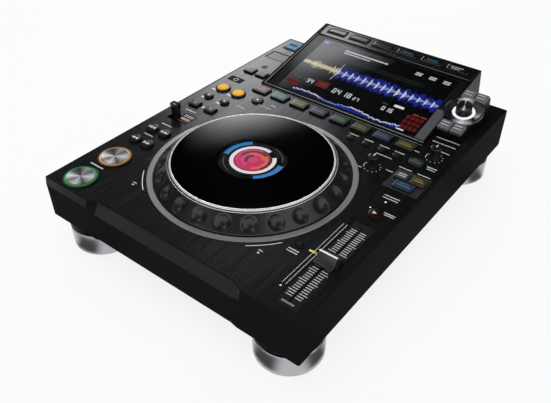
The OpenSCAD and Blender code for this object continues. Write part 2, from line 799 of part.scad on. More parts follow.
module rotary_pod() color("#2b2c2f") difference() {
    union() {
        intersection() {
            on_slope(pod_x) span([-pod_w / 2, pod_start, -60], [pod_w / 2, pod_start + pod_len, 0]);
            span([0, 0, panel_z], [body_w, body_d, panel_z + 60]);
        }
        on_slope(pod_x, pod_mid) rotate_extrude() polygon([
            [0, -1], [dish_r - 3, -1], [dish_r, 1], [dish_r, dish_h - 0.6], [dish_r - 0.6, dish_h],
            [dish_r - 2.2, dish_h], [selector_r + 4.6, dish_floor], [0, dish_floor]
        ]);
    }
    // hollow under the face
    intersection() {
        on_slope(pod_x) span([-pod_w / 2 + pod_wall, pod_start + pod_wall, -60],
                             [pod_w / 2 - pod_wall, pod_start + pod_len - pod_wall, -pod_wall - 2]);
        span([0, 0, panel_z - 1], [body_w, body_d, panel_z + 60]);
    }
    // seats for the four keys
    for (i = [0:3]) on_slope(pod_key_x(i), pod_key_s(i), -1.7)
        slab(pod_key_w + 2 * key_gap, pod_key_d + 2 * key_gap, 10, 1.5);
    on_slope(pod_x, pod_mid, -20) cylinder(h = 40, r = shaft_r + run_fit);
    // the dish overhangs the cover glass and keeps clear of the hood
    on_slope() span([hood_right - 60, 0, -5], [hood_right + fit_gap, hood_len, 0.4]);
}

function pod_key_x(i) = pod_x + (i % 2 == 0 ? -1 : 1) * (pod_key_w / 2 + 0.6);
function pod_key_s(i) = pod_mid + (i < 2 ? -1 : 1) * (pod_len / 2 - pod_key_d / 2 - 0.7);

// Four key tops on short feet; the dish's edge passes over their inner ends
module pod_keys() color("#c9cbcd") difference() {
    for (i = [0:3]) on_slope(pod_key_x(i), pod_key_s(i), -0.4)
        slab(pod_key_w, pod_key_d, pod_key_rise + 0.4, 1.5);
    on_slope(pod_x, pod_mid, -5) cylinder(h = 20, r = dish_r + 0.5);
}

module selector_shaft() color("#a7a9ab") on_slope(pod_x, pod_mid, -9)
    cylinder(h = 9 + dish_floor + selector_h - 2, r = shaft_r);

module selector_knob() color("#18191b") on_slope(pod_x, pod_mid, dish_floor + 1.2) difference() {
    union() {
        cylinder(h = selector_h - 1, r = selector_r);
        translate([0, 0, selector_h - 1 - eps]) cylinder(h = 1 + eps, r1 = selector_r, r2 = selector_r - 1);
        for (a = [0:15:345]) rotate(a) translate([selector_r - 0.3, -0.5, 1])
            cube([0.6, 1, selector_h - 3]);
    }
    translate([0, 0, -1]) cylinder(h = selector_h - 1.9, r = shaft_r + run_fit);
}

// ---------- jog wheel ----------

module at_jog(z = 0) {
    translate([0, jog_y, z]) children();
}

module jog_surround_ring() color("#a9abad") {
    at_jog(panel_z) ring(ring_r, ring_inner, ring_t);
    at_jog(jog_floor) ring(ring_inner + ring_skirt, ring_inner, panel_z - jog_floor + eps);
}

module jog_base() color("#6a6d70") difference() {
    union() {
        at_jog(jog_floor - jog_floor_t) cylinder(h = jog_floor_t, r = ring_inner + ring_skirt);
        at_jog(jog_floor - eps) cylinder(h = bearing_z - jog_floor + eps, r = post_r + 4);
        at_jog(bearing_z - eps) cylinder(h = display_bottom - bearing_z + eps, r = post_r);
    }
    at_jog(jog_floor - jog_floor_t - 1) cylinder(h = display_bottom - jog_floor, r = post_r - 5);
}

module jog_bearing() color("#c4c6c8") at_jog(bearing_z) difference() {
    ring(bearing_r, post_r + run_fit, bearing_h);
    translate([0, 0, bearing_h - 1]) ring(bearing_r - 3, post_r + 3, 2);
}

module jog_display() color("#0e0f12") at_jog(display_bottom)
    cylinder(h = display_top - display_bottom, r = jog_display_r);

// Slanting ring with finger dimples, a web under the glass, and a hub on the bearing
module jog_wheel() color("#1f2023") difference() {
    union() {
        at_jog() rotate_extrude($fn = 96) polygon([
            [wheel_r, panel_z - 1.4], [wheel_r, skirt_top], [plate_r + rim_band, web_top],
            [jog_display_r + 1.5, web_top], [jog_display_r + 1.5, web_top - web_t],
            [plate_r - 3, web_top - web_t], [wheel_r - 4, panel_z + 0.6], [wheel_r - 4, panel_z - 1.4]
        ]);
        at_jog(hub_bottom) ring(bearing_r + run_fit + hub_t, bearing_r + run_fit,
                                web_top - web_t - hub_bottom + eps);
    }
    for (i = [0:dimples - 1]) at_jog() rotate(i * 360 / dimples)
        translate([dimple_at[0], 0, dimple_at[1]]) sphere(r = dimple_r);
}

module jog_rim() color("#d6d8da") at_jog(web_top)
    rotate_extrude($fn = 96) polygon([
        [plate_r + 0.1, 0], [plate_r + rim_band, 0], [plate_r + rim_band, plate_t - 0.3],
        [plate_r + rim_band - 0.9, plate_t + 0.4], [plate_r + 0.1, plate_t + 0.4]
    ]);

module jog_plate() color("#08090b") at_jog(web_top) cylinder(h = plate_t, r = plate_r);

// ---------- tempo fader ----------

module tempo_fader_unit() color("#8b8d90") {
    length = fader_travel + fader_stem_d + 2 * unit_end;
    difference() {
        translate([fader_x, fader_y, deck_bottom - unit_h]) slab(unit_w, length, unit_h, 0.5);
        translate([fader_x, fader_y, deck_bottom - unit_h + 2])
            slab(7, length - 2 * unit_end + 6, unit_h - 4, 0.5);
        fader_slot();
        translate([0, 0, -2]) fader_slot();
    }
}

// The cap's long faces sink from the base to a ridge across the middle
module fader_knob() color("#232427") {
    z0 = panel_z + 0.7;
    translate([fader_x - cap_w / 2, fader_y, z0]) rotate([90, 0, 90]) linear_extrude(cap_w) polygon([
        [-cap_d / 2, 0], [cap_d / 2, 0], [cap_d / 2, 2.6], [cap_d / 4, cap_h * 0.5],
        [1.6, cap_h - 0.6], [1, cap_h], [-1, cap_h], [-1.6, cap_h - 0.6],
        [-cap_d / 4, cap_h * 0.5], [-cap_d / 2, 2.6]
    ]);
    span([fader_x - fader_stem_w / 2, fader_y - fader_stem_d / 2, deck_bottom - unit_h + 3],
         [fader_x + fader_stem_w / 2, fader_y + fader_stem_d / 2, z0 + eps]);
}

// ---------- boards and supply ----------

module key_board() color("#1e5a3a") difference() {
    span([-side + wall + 1.5, front + scoop_d + 4, key_board_top - board_t],
         [side - wall - 1.5, hood_y - 5, key_board_top]);
    at_jog(key_board_top - board_t - 1) cylinder(h = board_t + 2, r = ring_inner + ring_skirt + 1);
    half = (fader_travel + fader_stem_d) / 2 + unit_end + 1;
    span([fader_x - unit_w / 2 - 1, fader_y - half, key_board_top - board_t - 1],
         [fader_x + unit_w / 2 + 1, fader_y + half, key_board_top + 1]);
    span([lever_x - 11, lever_y - 12, key_board_top - board_t - 1],
         [lever_x + 11, lever_y + 8, key_board_top + 1]);
}

module board_parts(parts) {
    for (p = parts) translate([p[0], p[1], board_t - eps]) slab(p[2], p[3], p[4] + eps, 0.5);
}

module main_board() color("#1f6b45")
    translate([main_board_pos[0], main_board_pos[1], base_top + standoff_h]) {
        slab(main_board_size[0], main_board_size[1], board_t, 2);
        board_parts(main_parts);
    }

module power_supply() color("#a58a3a")
    translate([supply_pos[0], supply_pos[1], base_top + standoff_h]) {
        slab(supply_size[0], supply_size[1], board_t, 1);
        board_parts(supply_parts);
        translate([capacitor_pos[0], capacitor_pos[1], board_t - eps])
            cylinder(h = capacitor_h + eps, r = capacitor_r);
    }

// ---------- card door and USB port ----------

module sd_door() color("#4b4d51") {
    span([sd_x - sd_w / 2, sd_y - sd_d / 2, deck_top + sd_drop],
         [sd_x + sd_w / 2, sd_hinge_y, deck_top + sd_drop + sd_t]);
    translate([sd_x - sd_w / 2, sd_hinge_y, sd_hinge_z]) rotate([0, 90, 0]) cylinder(h = sd_w, r = sd_t / 2);
    translate([sd_x - sd_w / 2 - 1.5, sd_hinge_y, sd_hinge_z]) rotate([0, 90, 0])
        cylinder(h = sd_w + 3, r = sd_pin_r);
}

module usb_port() color("#9fc3dc") difference() {
    union() {
        translate([usb_x, usb_y, deck_bottom - 12])
            slab(usb_w, usb_w, panel_z + usb_rise - deck_bottom + 12, 0.8);
        translate([usb_x, usb_y, deck_bottom - 1.5]) slab(usb_w + 4, usb_w + 4, 1.5, 1);
    }
    difference() {
        span([usb_x - 6.6, usb_y - 2.9, panel_z + usb_rise - 14],
             [usb_x + 6.6, usb_y + 2.9, panel_z + usb_rise + 1]);
        span([usb_x - 5.5, usb_y - 0.95, panel_z - 20],
             [usb_x + 5.5, usb_y + 0.95, panel_z + usb_rise - 2]);
    }
}

// ---------- lever and knobs ----------

module direction_lever() color("#141416") {
    span([lever_x - lever_w / 2, lever_y - lever_d / 2, lever_pivot],
         [lever_x + lever_w / 2, lever_y + lever_d / 2, lever_top]);
    translate([lever_x, lever_y, lever_pivot]) rotate([0, 90, 0]) {
        cylinder(h = lever_w, r = lever_d / 2, center = true);
        cylinder(h = lever_w + 2 * (lever_arm_t + fit_gap), r = lever_axle_r, center = true);
    }
}

// A small knob on a shaft that turns in the panel
module small_knob(pos) {
    translate([pos[0], pos[1], 0]) {
        translate([0, 0, panel_z + 0.5]) cylinder(h = knob_h - 1.5, r = knob_r);
        translate([0, 0, panel_z + knob_h - 1 - eps])
            cylinder(h = 1 + eps, r1 = knob_r, r2 = knob_r - 0.8);
        translate([-0.5, knob_r - 0.5, panel_z + 1]) cube([1, 1.1, knob_h - 2.5]);
        translate([0, 0, deck_bottom - 4]) cylinder(h = panel_z + 1 - deck_bottom + 4, r = shaft_r);
    }
}

module vinyl_speed_knob() color("#1a1b1d") small_knob(vinyl_pos);
module jog_adjust_knob() color("#1a1b1d") small_knob(adjust_pos);

// ---------- keys ----------

// Play and cue: a lit ring around a shallow metal dish
module transport_button(y) {
    pos = [transport_x, y];
    dish = transport_r - 3.7;
    difference() {
        union() {
            round_key(pos, transport_r, 2);
            translate([pos[0], pos[1], panel_z + 2 - eps]) cylinder(h = 1 + eps, r = dish);
        }
        translate([pos[0], pos[1], panel_z + 2.5]) cylinder(h = 1, r1 = 0.5, r2 = dish * 1.8);
    }
}

module play_button() color("#8fd7a4") transport_button(play_y);
module cue_button() color("#f0d9a8") transport_button(cue_y);
module search_back() color("#1b1b1d") round_key([search_x[0], search_y], search_r, 3);
module search_forward() color("#1b1b1d") round_key([search_x[1], search_y], search_r, 3);
module track_keys() color("#1b1b1d") for (x = search_x) round_key([x, track_y], search_r, 3);
module beat_jump_keys() color("#2a2b2e") for (x = jump_x) key([x, jump_y], square_key);
module beat_loop_keys() color("#2a2b2e") for (x = beat_x) round_key([x, beat_y], beat_r);
module loop_in_button() color("#e5a62e") round_key([loop_x[0], loop_y], loop_r, 3);
module loop_out_button() color("#e5a62e") round_key([loop_x[1], loop_y], loop_r, 3);
module source_keys() color("#6b4a4c") for (x = source_x) key([x, source_y], source_key);

module memory_keys() color("#2b2d25") {
    round_key([delete_x, memory_y - 1], delete_r, 2);
    for (x = memory_x) round_key([x, memory_y], memory_r, 2);
}

module jog_mode_key() color("#6f7f57") key(jog_mode_pos, jog_mode_size);
module sync_key() color("#b8bbc0") key(sync_pos, sync_key_size);
module key_sync_key() color("#8f8a4a") key(key_sync_pos, key_sync_size);
module master_key() color("#5f8296") key(master_pos, master_size);
module master_tempo_button() color("#7a2a2c") round_key(tempo_pos, tempo_r);
module tempo_range_button() color("#2a2b2e") round_key(range_pos, range_r, 1.5);

hot_cue_colors = [
    "#7c5a60", "#46696a", "#66704a", "#5a4c7c", "#4c6b4c", "#6b6440", "#46587c", "#66683c"
];

module hot_cue(i) color(hot_cue_colors[i]) key([cue_x(i), cue_row_y], hot_cue_size);

// ---------- nodes ----------

upper_case();
control_panel();
bottom_chassis();
rear_panel();
display_housing();
foot_sleeves();
foot_cores();
case_screws();
touch_glass();
lcd_panel();
rotary_pod();
jog_surround_ring();
jog_base();
jog_bearing();
jog_display();
jog_wheel();
jog_rim();
jog_plate();
tempo_fader_unit();
fader_knob();
main_board();
key_board();
power_supply();
ac_inlet();
signal_sockets();
usb_port();
power_rocker();
sd_door();
direction_lever();
selector_shaft();
selector_knob();
vinyl_speed_knob();
jog_adjust_knob();
play_button();
cue_button();
search_back();
search_forward();
track_keys();
beat_jump_keys();
beat_loop_keys();
loop_in_button();
loop_out_button();
source_keys();
memory_keys();
jog_mode_key();
sync_key();
key_sync_key();
master_key();
master_tempo_button();
tempo_range_button();
pod_keys();
function_keys();
hot_cue(0);  // hot_cue_a
hot_cue(1);  // hot_cue_b
hot_cue(2);  // hot_cue_c
hot_cue(3);  // hot_cue_d
hot_cue(4);  // hot_cue_e
hot_cue(5);  // hot_cue_f
hot_cue(6);  // hot_cue_g
hot_cue(7);  // hot_cue_h
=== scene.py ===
import math
import random

import bmesh
import bpy
from mathutils import Matrix, Vector


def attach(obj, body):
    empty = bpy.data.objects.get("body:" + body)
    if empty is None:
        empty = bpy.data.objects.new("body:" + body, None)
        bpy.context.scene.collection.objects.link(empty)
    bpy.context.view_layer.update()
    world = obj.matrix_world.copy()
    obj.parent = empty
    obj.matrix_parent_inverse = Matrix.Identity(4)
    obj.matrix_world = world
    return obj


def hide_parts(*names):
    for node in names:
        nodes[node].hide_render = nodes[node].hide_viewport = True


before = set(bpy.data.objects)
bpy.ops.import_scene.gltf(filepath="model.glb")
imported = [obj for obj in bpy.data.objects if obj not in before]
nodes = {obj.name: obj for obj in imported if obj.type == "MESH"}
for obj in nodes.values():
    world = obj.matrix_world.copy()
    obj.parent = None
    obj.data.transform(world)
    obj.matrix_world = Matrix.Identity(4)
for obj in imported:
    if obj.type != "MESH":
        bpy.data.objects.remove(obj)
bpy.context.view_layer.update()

# ---------- Case ----------
# The case is one moulding: four walls, the deck under the panel and the rim beside it.
# It is black ABS from a spark-eroded mould, so its satin face carries a fine even grain.

MM = 0.001


def hex_colour(code):
    """Turns an sRGB hex value into the linear colour of a shader socket."""
    values = [int(code[i:i + 2], 16) / 255 for i in (1, 3, 5)]
    linear = [v / 12.92 if v <= 0.04045 else ((v + 0.055) / 1.055) ** 2.4 for v in values]
    return (*linear, 1)


def add_node(owner, kind, values={}, into=None):
    """Adds a shader node. Its values are settings, sockets' values, or nodes and outputs to link.

    A ramp's stops are (value, sRGB hex), from low to high.
    """
    tree = owner.node_tree
    node = tree.nodes.new("ShaderNode" + kind)
    for name, value in values.items():
        if isinstance(value, bpy.types.Node):
            value = value.outputs[0]
        if isinstance(value, bpy.types.NodeSocket):
            tree.links.new(value, node.inputs[name])
        elif name == "stops":
            elements = node.color_ramp.elements
            elements[0].position = value[0][0]
            elements[1].position = value[-1][0]
            for place, code in value[1:-1]:
                elements.new(place)
            for element, (place, code) in zip(elements, value):
                element.color = hex_colour(code)
        elif isinstance(name, int) or name in node.inputs:
            node.inputs[name].default_value = value
        else:
            setattr(node, name, value)
    if into:
        tree.links.new(node.outputs[0], tree.nodes["Principled BSDF"].inputs[into])
    return node


def add_grain(material, size, depth, stretch=(1, 1, 1), wear=0):
    """Gives a surface its grain, size mm across and depth mm deep, and uneven gloss by wear."""
    place = add_node(material, "TexCoord")
    scaled = add_node(material, "Mapping", {"Scale": stretch, 0: place.outputs["Object"]})
    grain = add_node(material, "TexNoise", {"Scale": 1 / (size * MM), "Detail": 2, "Vector": scaled})
    add_node(material, "Bump", {"Strength": 0.6, "Distance": depth * MM, "Height": grain}, "Normal")
    if wear:
        base = material.node_tree.nodes["Principled BSDF"].inputs["Roughness"].default_value
        patches = add_node(material, "TexNoise", {"Scale": 25, "Detail": 4,
            "Vector": place.outputs["Object"]})
        add_node(material, "MapRange", {"To Min": base - wear, "To Max": base + wear, "Value": patches},
            "Roughness")
    return grain


def new_material(name, colour, roughness, grain=None, wear=0, stretch=(1, 1, 1), metallic=0,
                 specular=0.5, glow=("#ffffff", 0), others={}):
    """A material named for what it is: grain is (size, depth) in mm, glow is (colour, strength)."""
    material = bpy.data.materials.new(name)
    material.use_nodes = True
    sockets = {"Base Color": hex_colour(colour), "Roughness": roughness, "Metallic": metallic,
        "Specular IOR Level": specular, "Emission Color": hex_colour(glow[0]),
        "Emission Strength": glow[1], **others}
    for socket, value in sockets.items():
        material.node_tree.nodes["Principled BSDF"].inputs[socket].default_value = value
    if grain:
        add_grain(material, *grain, stretch, wear)
    return material


def dress(node, material):
    """Gives a CAD node its finish."""
    nodes[node].data.materials.clear()
    nodes[node].data.materials.append(material)


black_abs = new_material("spark_grained_black_abs", "#1a1a1c", 0.55, (0.7, 0.03), 0.05, specular=0.005)
dress("upper_case", black_abs)

# ---------- Base plate and what is screwed to it ----------
# The base is zinc-plated sheet steel, held by six black screws. It carries the mains supply,
# the main board and the posts under the wheel's floor. Zinc shows pale cloudy patches.

zinc_steel = new_material("zinc_plated_steel", "#8b8f93", 0.38, (9, 0.01), 0.08, metallic=1)
dress("bottom_chassis", zinc_steel)
blackened_screws = new_material("blackened_steel", "#17171a", 0.45, (0.3, 0.01), metallic=0.8)
dress("case_screws", blackened_screws)

green_board = new_material("solder_masked_board", "#14532f", 0.35)
tracks = add_grain(green_board, 2.5, 0.03, stretch=(1, 0.25, 1))
add_node(green_board, "ValToRGB", {"Fac": tracks, "stops": ((0, "#0f4627"), (1, "#1f7443"))},
    "Base Color")
dress("main_board", green_board)
dress("key_board", green_board)
paper_board = new_material("phenolic_paper_board", "#8a6a2e", 0.6, (1.5, 0.03), 0.06)
dress("power_supply", paper_board)

# ---------- Feet ----------
# Each foot is a rubber core in a turned aluminium sleeve, under a black moulded collar.
# The sleeve is brushed round and satin anodised, so it shows long upright lights.


# Each piece is drawn in this mesh, in mm, and add_piece empties it for the next.
bm = bmesh.new()


def turn(profile, at, steps, bands={}):
    """Turns a closed outline of (radius, height) points round an upright axis."""
    rows = []
    for k in range(steps):
        a = 2 * math.pi * k / steps
        rows.append([bm.verts.new((at[0] + r * math.cos(a), at[1] + r * math.sin(a), z))
            for r, z in profile])
    for row, after in zip(rows, rows[1:] + rows[:1]):
        for i in range(len(profile)):
            j = (i + 1) % len(profile)
            corners = [row[i], after[i], after[j], row[j]]
            if profile[i][0] == 0:
                corners.remove(after[i])
            if profile[j][0] == 0:
                corners.remove(after[j])
            if len(corners) > 2:
                face = bm.faces.new(corners)
                face.material_index = bands.get(i, 0)


def add_piece(name, body, materials, smooth=38, matrix=None):
    """Makes what is drawn into a piece that rides on a body."""
    bmesh.ops.remove_doubles(bm, verts=bm.verts, dist=0.0005)
    bmesh.ops.recalc_face_normals(bm, faces=bm.faces)
    if matrix:
        bmesh.ops.transform(bm, matrix=matrix, verts=bm.verts)
    bmesh.ops.scale(bm, vec=(MM, MM, MM), verts=bm.verts)
    mesh = bpy.data.meshes.new(name)
    bm.to_mesh(mesh)
    bm.clear()
    for material in materials:
        mesh.materials.append(material)
    mesh.shade_smooth()
    mesh.set_sharp_from_angle(angle=math.radians(smooth))
    made = bpy.data.objects.new(name, mesh)
    bpy.context.scene.collection.objects.link(made)
    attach(made, body)
    return made


def solids(node):
    """The boxes, in mm, of a CAD node's separate solids, from left to right: low, high, middle."""
    copy = bmesh.new()
    copy.from_mesh(nodes[node].data)
    bmesh.ops.remove_doubles(copy, verts=copy.verts, dist=1e-6)
    left = set(copy.verts)
    boxes = []
    while left:
        group = [left.pop()]
        for v in group:
            for e in v.link_edges:
                other = e.other_vert(v)
                if other in left:
                    left.remove(other)
                    group.append(other)
        low = Vector([min(v.co[i] for v in group) for i in range(3)]) / MM
        high = Vector([max(v.co[i] for v in group) for i in range(3)]) / MM
        boxes.append((low, high, (low + high) / 2))
    copy.free()
    return sorted(boxes, key=lambda b: (round(b[0].x, 1), b[0].y))


foot_aluminium = new_material("turned_anodised_aluminium", "#b4b6b9", 0.3, (0.5, 0.004), 0.04,
    (0.2, 0.2, 2.5), metallic=1, others={"Anisotropic": 0.5})
for low, high, middle in solids("foot_sleeves"):
    r = (high.x - low.x) / 2
    turn([(r - 4, low.z), (r - 1.2, low.z), (r - 0.35, low.z + 0.35), (r, low.z + 1.2),
        (r, high.z - 4.2), (r - 0.35, high.z - 3.6), (r - 1.1, high.z - 3.2), (r - 4, high.z - 3.2)],
        middle, 96)
sleeves = add_piece("foot_sleeve_pieces", "case", [foot_aluminium])
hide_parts("foot_sleeves")
# Moulded rubber has a soft dull gloss that shows only as a pale edge.
foot_rubber = new_material("moulded_black_rubber", "#0a0a0b", 0.55, (0.8, 0.03), 0.05, specular=0.2)
dress("foot_cores", foot_rubber)

# ---------- Control panel ----------
# A 2 mm aluminium plate lies in the case's rim and covers the deck. It is brushed from front
# to back and anodised charcoal, so fine light and dark hairlines run away from the front edge.

panel_aluminium = new_material("hairline_charcoal_anodised_aluminium", "#3d3e40", 0.27, (0.45, 0.006),
    0.015, (1, 0.03, 1), metallic=0.9, others={"Anisotropic": 0.4})
# Hairlines are 0.1 mm apart; every twentieth or so is drawn, as a streak, so that they show.
panel_place = add_node(panel_aluminium, "TexCoord")
panel_along = add_node(panel_aluminium, "Mapping", {"Scale": (1, 0.04, 1),
    0: panel_place.outputs["Object"]})
panel_streaks = add_node(panel_aluminium, "TexNoise", {"Scale": 1 / (2.2 * MM), "Detail": 3,
    "Vector": panel_along})
add_node(panel_aluminium, "ValToRGB", {"Fac": panel_streaks,
    "stops": ((0.34, "#323335"), (0.66, "#47484b"))}, "Base Color")
dress("control_panel", panel_aluminium)

# ---------- Display hood ----------
# The hood is a second black moulding, finer than the case. It rises to the rear and ends
# in the socket box behind the case.

fine_abs = new_material("fine_grained_black_abs", "#131314", 0.36, (0.5, 0.015), 0.04, specular=0.07)
dress("display_housing", fine_abs)
dress("rear_panel", black_abs)
dress("rotary_pod", fine_abs)

# ---------- Ring around the wheel ----------
# A flat aluminium ring stands 0.9 mm proud of the panel, with a skirt down to the wheel's
# floor. Its face is spun, so fine circles run round it and catch the light.

wheel_y = -85.7
wheel_axis = (0, wheel_y)


def add_circles(material, pitch, depth):
    """Gives a turned face its fine circles, pitch mm apart, round the wheel's axis."""
    place = add_node(material, "TexCoord")
    flat = add_node(material, "VectorMath", {"operation": "MULTIPLY", 1: (1, 1, 0),
        0: place.outputs["Object"]})
    radius = add_node(material, "VectorMath", {"operation": "DISTANCE", 1: (0, wheel_y * MM, 0), 0: flat})
    circles = add_node(material, "TexNoise", {"noise_dimensions": "1D", "Scale": 1 / (pitch * MM),
        "Detail": 2, "W": radius.outputs["Value"]})
    add_node(material, "Bump", {"Strength": 0.6, "Distance": depth * MM, "Height": circles}, "Normal")


spun_aluminium = new_material("spun_satin_aluminium", "#b8babd", 0.33, metallic=0.8)
add_circles(spun_aluminium, 0.35, 0.006)
turn([(104.5, 66), (106.8, 66), (106.8, 85.4), (110.7, 85.4), (110.7, 86.05), (110.45, 86.3),
    (104.8, 86.3), (104.5, 86.0)], wheel_axis, 160)
ring = add_piece("wheel_surround", "case", [spun_aluminium])
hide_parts("jog_surround_ring")
# The floor is left as cast, so it is matt and cloudy; the bearing is ground and shines in circles.
cast_aluminium = new_material("die_cast_aluminium", "#6f7275", 0.5, (1.2, 0.03), 0.06, metallic=1)
dress("jog_base", cast_aluminium)
bearing_steel = new_material("ground_bearing_steel", "#b8babd", 0.2, metallic=1)
add_circles(bearing_steel, 0.5, 0.003)
dress("jog_bearing", bearing_steel)

# ---------- Jog wheel ----------
# The wheel is a satin black moulding. Its slanting ring has 24 finger dimples. Each is a shallow
# bowl cut by a ball of 22 mm, with a soft edge from the mould. The bowls take a darker black than the
# ring: painted shade.

wheel_black = new_material("satin_moulded_black_polycarbonate", "#1b1b1d", 0.3, (0.6, 0.01), 0.05,
    others={"Coat Weight": 0.25, "Coat Roughness": 0.3})
painted_shade_black = new_material("bowl_and_groove_painted_shade_black", "#0b0b0c", 0.36, (0.6, 0.006), 0.05,
    specular=0.25)
slope_out = Vector((13.6, 15.2)).normalized()
dimple_radius = 11
dimple_count = 24
dimple_lift = 7.2
no_sink = -4
foot_point = Vector((103.5, 87.5))
crest_point = Vector((88.3, 101.1))
dimple_mid = (foot_point + crest_point) / 2 + dimple_lift * slope_out
skirt = [(103.5, 84.0), (103.5, 87.2)]
inside_wall = [(87.6, 101.1), (40, 101.1), (40, 97.1), (83, 97.1), (99.5, 86.0), (99.5, 84.0)]
steps = dimple_count * 22
levels = 24
columns = []
for k in range(steps):
    a = 2 * math.pi * k / steps
    nearest = (math.floor(a / (2 * math.pi) * dimple_count) + 0.5) * 2 * math.pi / dimple_count
    centre = Vector((dimple_mid.x * math.cos(nearest), dimple_mid.x * math.sin(nearest), dimple_mid.y))
    outward = Vector((slope_out.x * math.cos(a), slope_out.x * math.sin(a), slope_out.y))
    points = []
    for j in range(levels + 1):
        flat = foot_point.lerp(crest_point, j / levels)
        here = Vector((flat.x * math.cos(a), flat.x * math.sin(a), flat.y))
        away = here - centre
        along = away.dot(outward)
        inside = along * along - away.length_squared + dimple_radius ** 2
        sink = along + math.sqrt(inside) if inside > 0 else no_sink
        sink = (sink + math.sqrt(sink * sink + 0.06)) / 2
        sunk = here - outward * sink * min(1, 6 * min(j, levels - j) / levels)
        points.append((math.hypot(sunk.x, sunk.y), sunk.z))
    columns.append([bm.verts.new((r * math.cos(a), wheel_y + r * math.sin(a), z))
        for r, z in skirt + points + inside_wall])
for row, after in zip(columns, columns[1:] + columns[:1]):
    for i in range(len(row)):
        j = (i + 1) % len(row)
        bm.faces.new((row[i], after[i], after[j], row[j]))
# The faces inside the bowls take the darker black, as painted shade.
for face in bm.faces:
    middle = face.calc_center_median()
    depth = (math.hypot(middle.x, middle.y - wheel_y) - crest_point.x) * slope_out.x
    depth += (middle.z - crest_point.y) * slope_out.y
    in_bowl = -5 < depth < -0.35 and middle.z > foot_point.y and face.normal.z > 0
    face.material_index = 1 if in_bowl else 0
wheel = add_piece("wheel_dimple_ring", "jog", [wheel_black, painted_shade_black], 50)
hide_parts("jog_wheel")

# A polished ring is pressed round the top plate. Chrome on brass: a hard bright line. Its groove takes the
# bowls' darker black: painted shade.
rim_chrome = new_material("polished_chrome_plating", "#eceded", 0.28, (40, 0.001), 0.04, metallic=0.45)
turn([(84.25, 101.1), (88.3, 101.1), (88.3, 101.8), (88.2, 101.95), (88.0, 101.9), (87.9, 101.5),
    (86.6, 101.3), (86.45, 102.0), (86.3, 102.6), (86.0, 103.1), (85.5, 103.42), (84.8, 103.5),
    (84.4, 103.4), (84.25, 103.15)], wheel_axis, 192, {4: 1, 5: 1, 6: 1})
rim = add_piece("wheel_rim", "jog", [rim_chrome, painted_shade_black])
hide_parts("jog_rim")

# The top plate is an acrylic sheet with a deep wet gloss. It is painted black from below, but
# for a round clear window in the middle.
backed_acrylic = new_material("black_backed_cast_acrylic", "#020203", 0.06, (60, 0.001), 0.02,
    others={"IOR": 1.49})


def add_clear(name, tint, roughness):
    """A clear sheet: its front mirrors by the angle, and the rest of the light goes through."""
    material = bpy.data.materials.new(name)
    material.use_nodes = True
    tree = material.node_tree
    tree.nodes.remove(tree.nodes["Principled BSDF"])
    angle = add_node(material, "Fresnel", {"IOR": 1.49})
    side = add_node(material, "NewGeometry")
    facing = add_node(material, "Math", {"operation": "MULTIPLY_ADD", 1: -1.0, 2: 1.0,
        0: side.outputs["Backfacing"]})
    share = add_node(material, "Math", {"operation": "MULTIPLY", 0: angle, 1: facing})
    through = add_node(material, "BsdfTransparent", {"Color": hex_colour(tint)})
    mirror = add_node(material, "BsdfGlossy", {"Roughness": roughness})
    both = add_node(material, "MixShader", {0: share, 1: through, 2: mirror})
    tree.links.new(both.outputs[0], tree.nodes["Material Output"].inputs[0])
    return material


clear_acrylic = add_clear("clear_cast_acrylic", "#f8f8f8", 0.06)
turn([(37, 102.1), (84.0, 102.1), (84.2, 102.3), (84.2, 102.8), (84.0, 103.05), (37, 103.1)],
    wheel_axis, 192)
turn([(0, 102.1), (37, 102.1), (37, 103.1), (0, 103.1)], wheel_axis, 96, {0: 1, 1: 1, 2: 1})
plate = add_piece("wheel_plate", "jog", [backed_acrylic, clear_acrylic])
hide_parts("jog_plate")

# ---------- Display in the wheel ----------
# A fixed round screen sits under the window. It shows a plain marker ring, two blue arcs and
# a round colour wheel of blades in place of any cover picture.

screen_black = new_material("unlit_black_screen", "#030304", 0.3, (0.25, 0.001), 0.02, specular=0.05)
dress("jog_display", screen_black)


def add_light(name, colour, strength):
    """A picture element or light guide that glows in its own colour, a little unevenly."""
    material = new_material(name, "#0a0a0a", 0.4, glow=(colour, 0))
    place = add_node(material, "TexCoord")
    cloud = add_node(material, "TexNoise", {"Scale": 250, "Detail": 3, "Vector": place.outputs["Object"]})
    add_node(material, "MapRange", {"To Min": strength * 0.85, "To Max": strength * 1.15, "Value": cloud},
        "Emission Strength")
    return material


def arc(at, r0, r1, start, end, z, index=0, steps=24):
    """Draws a flat piece of a ring between two angles, in degrees."""
    rows = []
    for k in range(steps + 1):
        a = math.radians(start + (end - start) * k / steps)
        rows.append([bm.verts.new((at[0] + r * math.cos(a), at[1] + r * math.sin(a), z))
            for r in (r0, r1)])
    for row, after in zip(rows, rows[1:]):
        face = bm.faces.new((row[0], row[1], after[1], after[0]))
        face.material_index = index


def dot(at, r, z, index=0, steps=16):
    """Draws a flat round dot."""
    arc(at, 0.01, r, 0, 360, z, index, steps)


wheel_lights = [add_light(*light) for light in (
    ("lit_white_ring", "#f6e9ec", 0.95), ("lit_blue_arc", "#1583d6", 0.9),
    ("lit_dim_blue_arc", "#0b2c4a", 0.6), ("lit_grey_arc", "#8b9096", 0.3),
    ("lit_magenta_band", "#cc0560", 0.95), ("lit_orange_band", "#ee6236", 0.85),
    ("lit_plum_band", "#6a0d34", 0.75), ("lit_rose_band", "#e03a7c", 0.85))]
on_display = 99.86
arc(wheel_axis, 20.3, 24.6, 75, 405, on_display, 0, 96)
for start in (-50, 130):
    arc(wheel_axis, 28.5, 33.5, start, start + 66, on_display, 1, 32)
    for r0, r1 in ((27.4, 28.5), (33.5, 34.8)):
        arc(wheel_axis, r0, r1, start - 3, start + 69, on_display, 2, 32)
for start in (28, 205):
    arc(wheel_axis, 30.4, 31.2, start, start + 50, on_display, 3, 48)
dot(wheel_axis, 5, on_display, 7, 32)
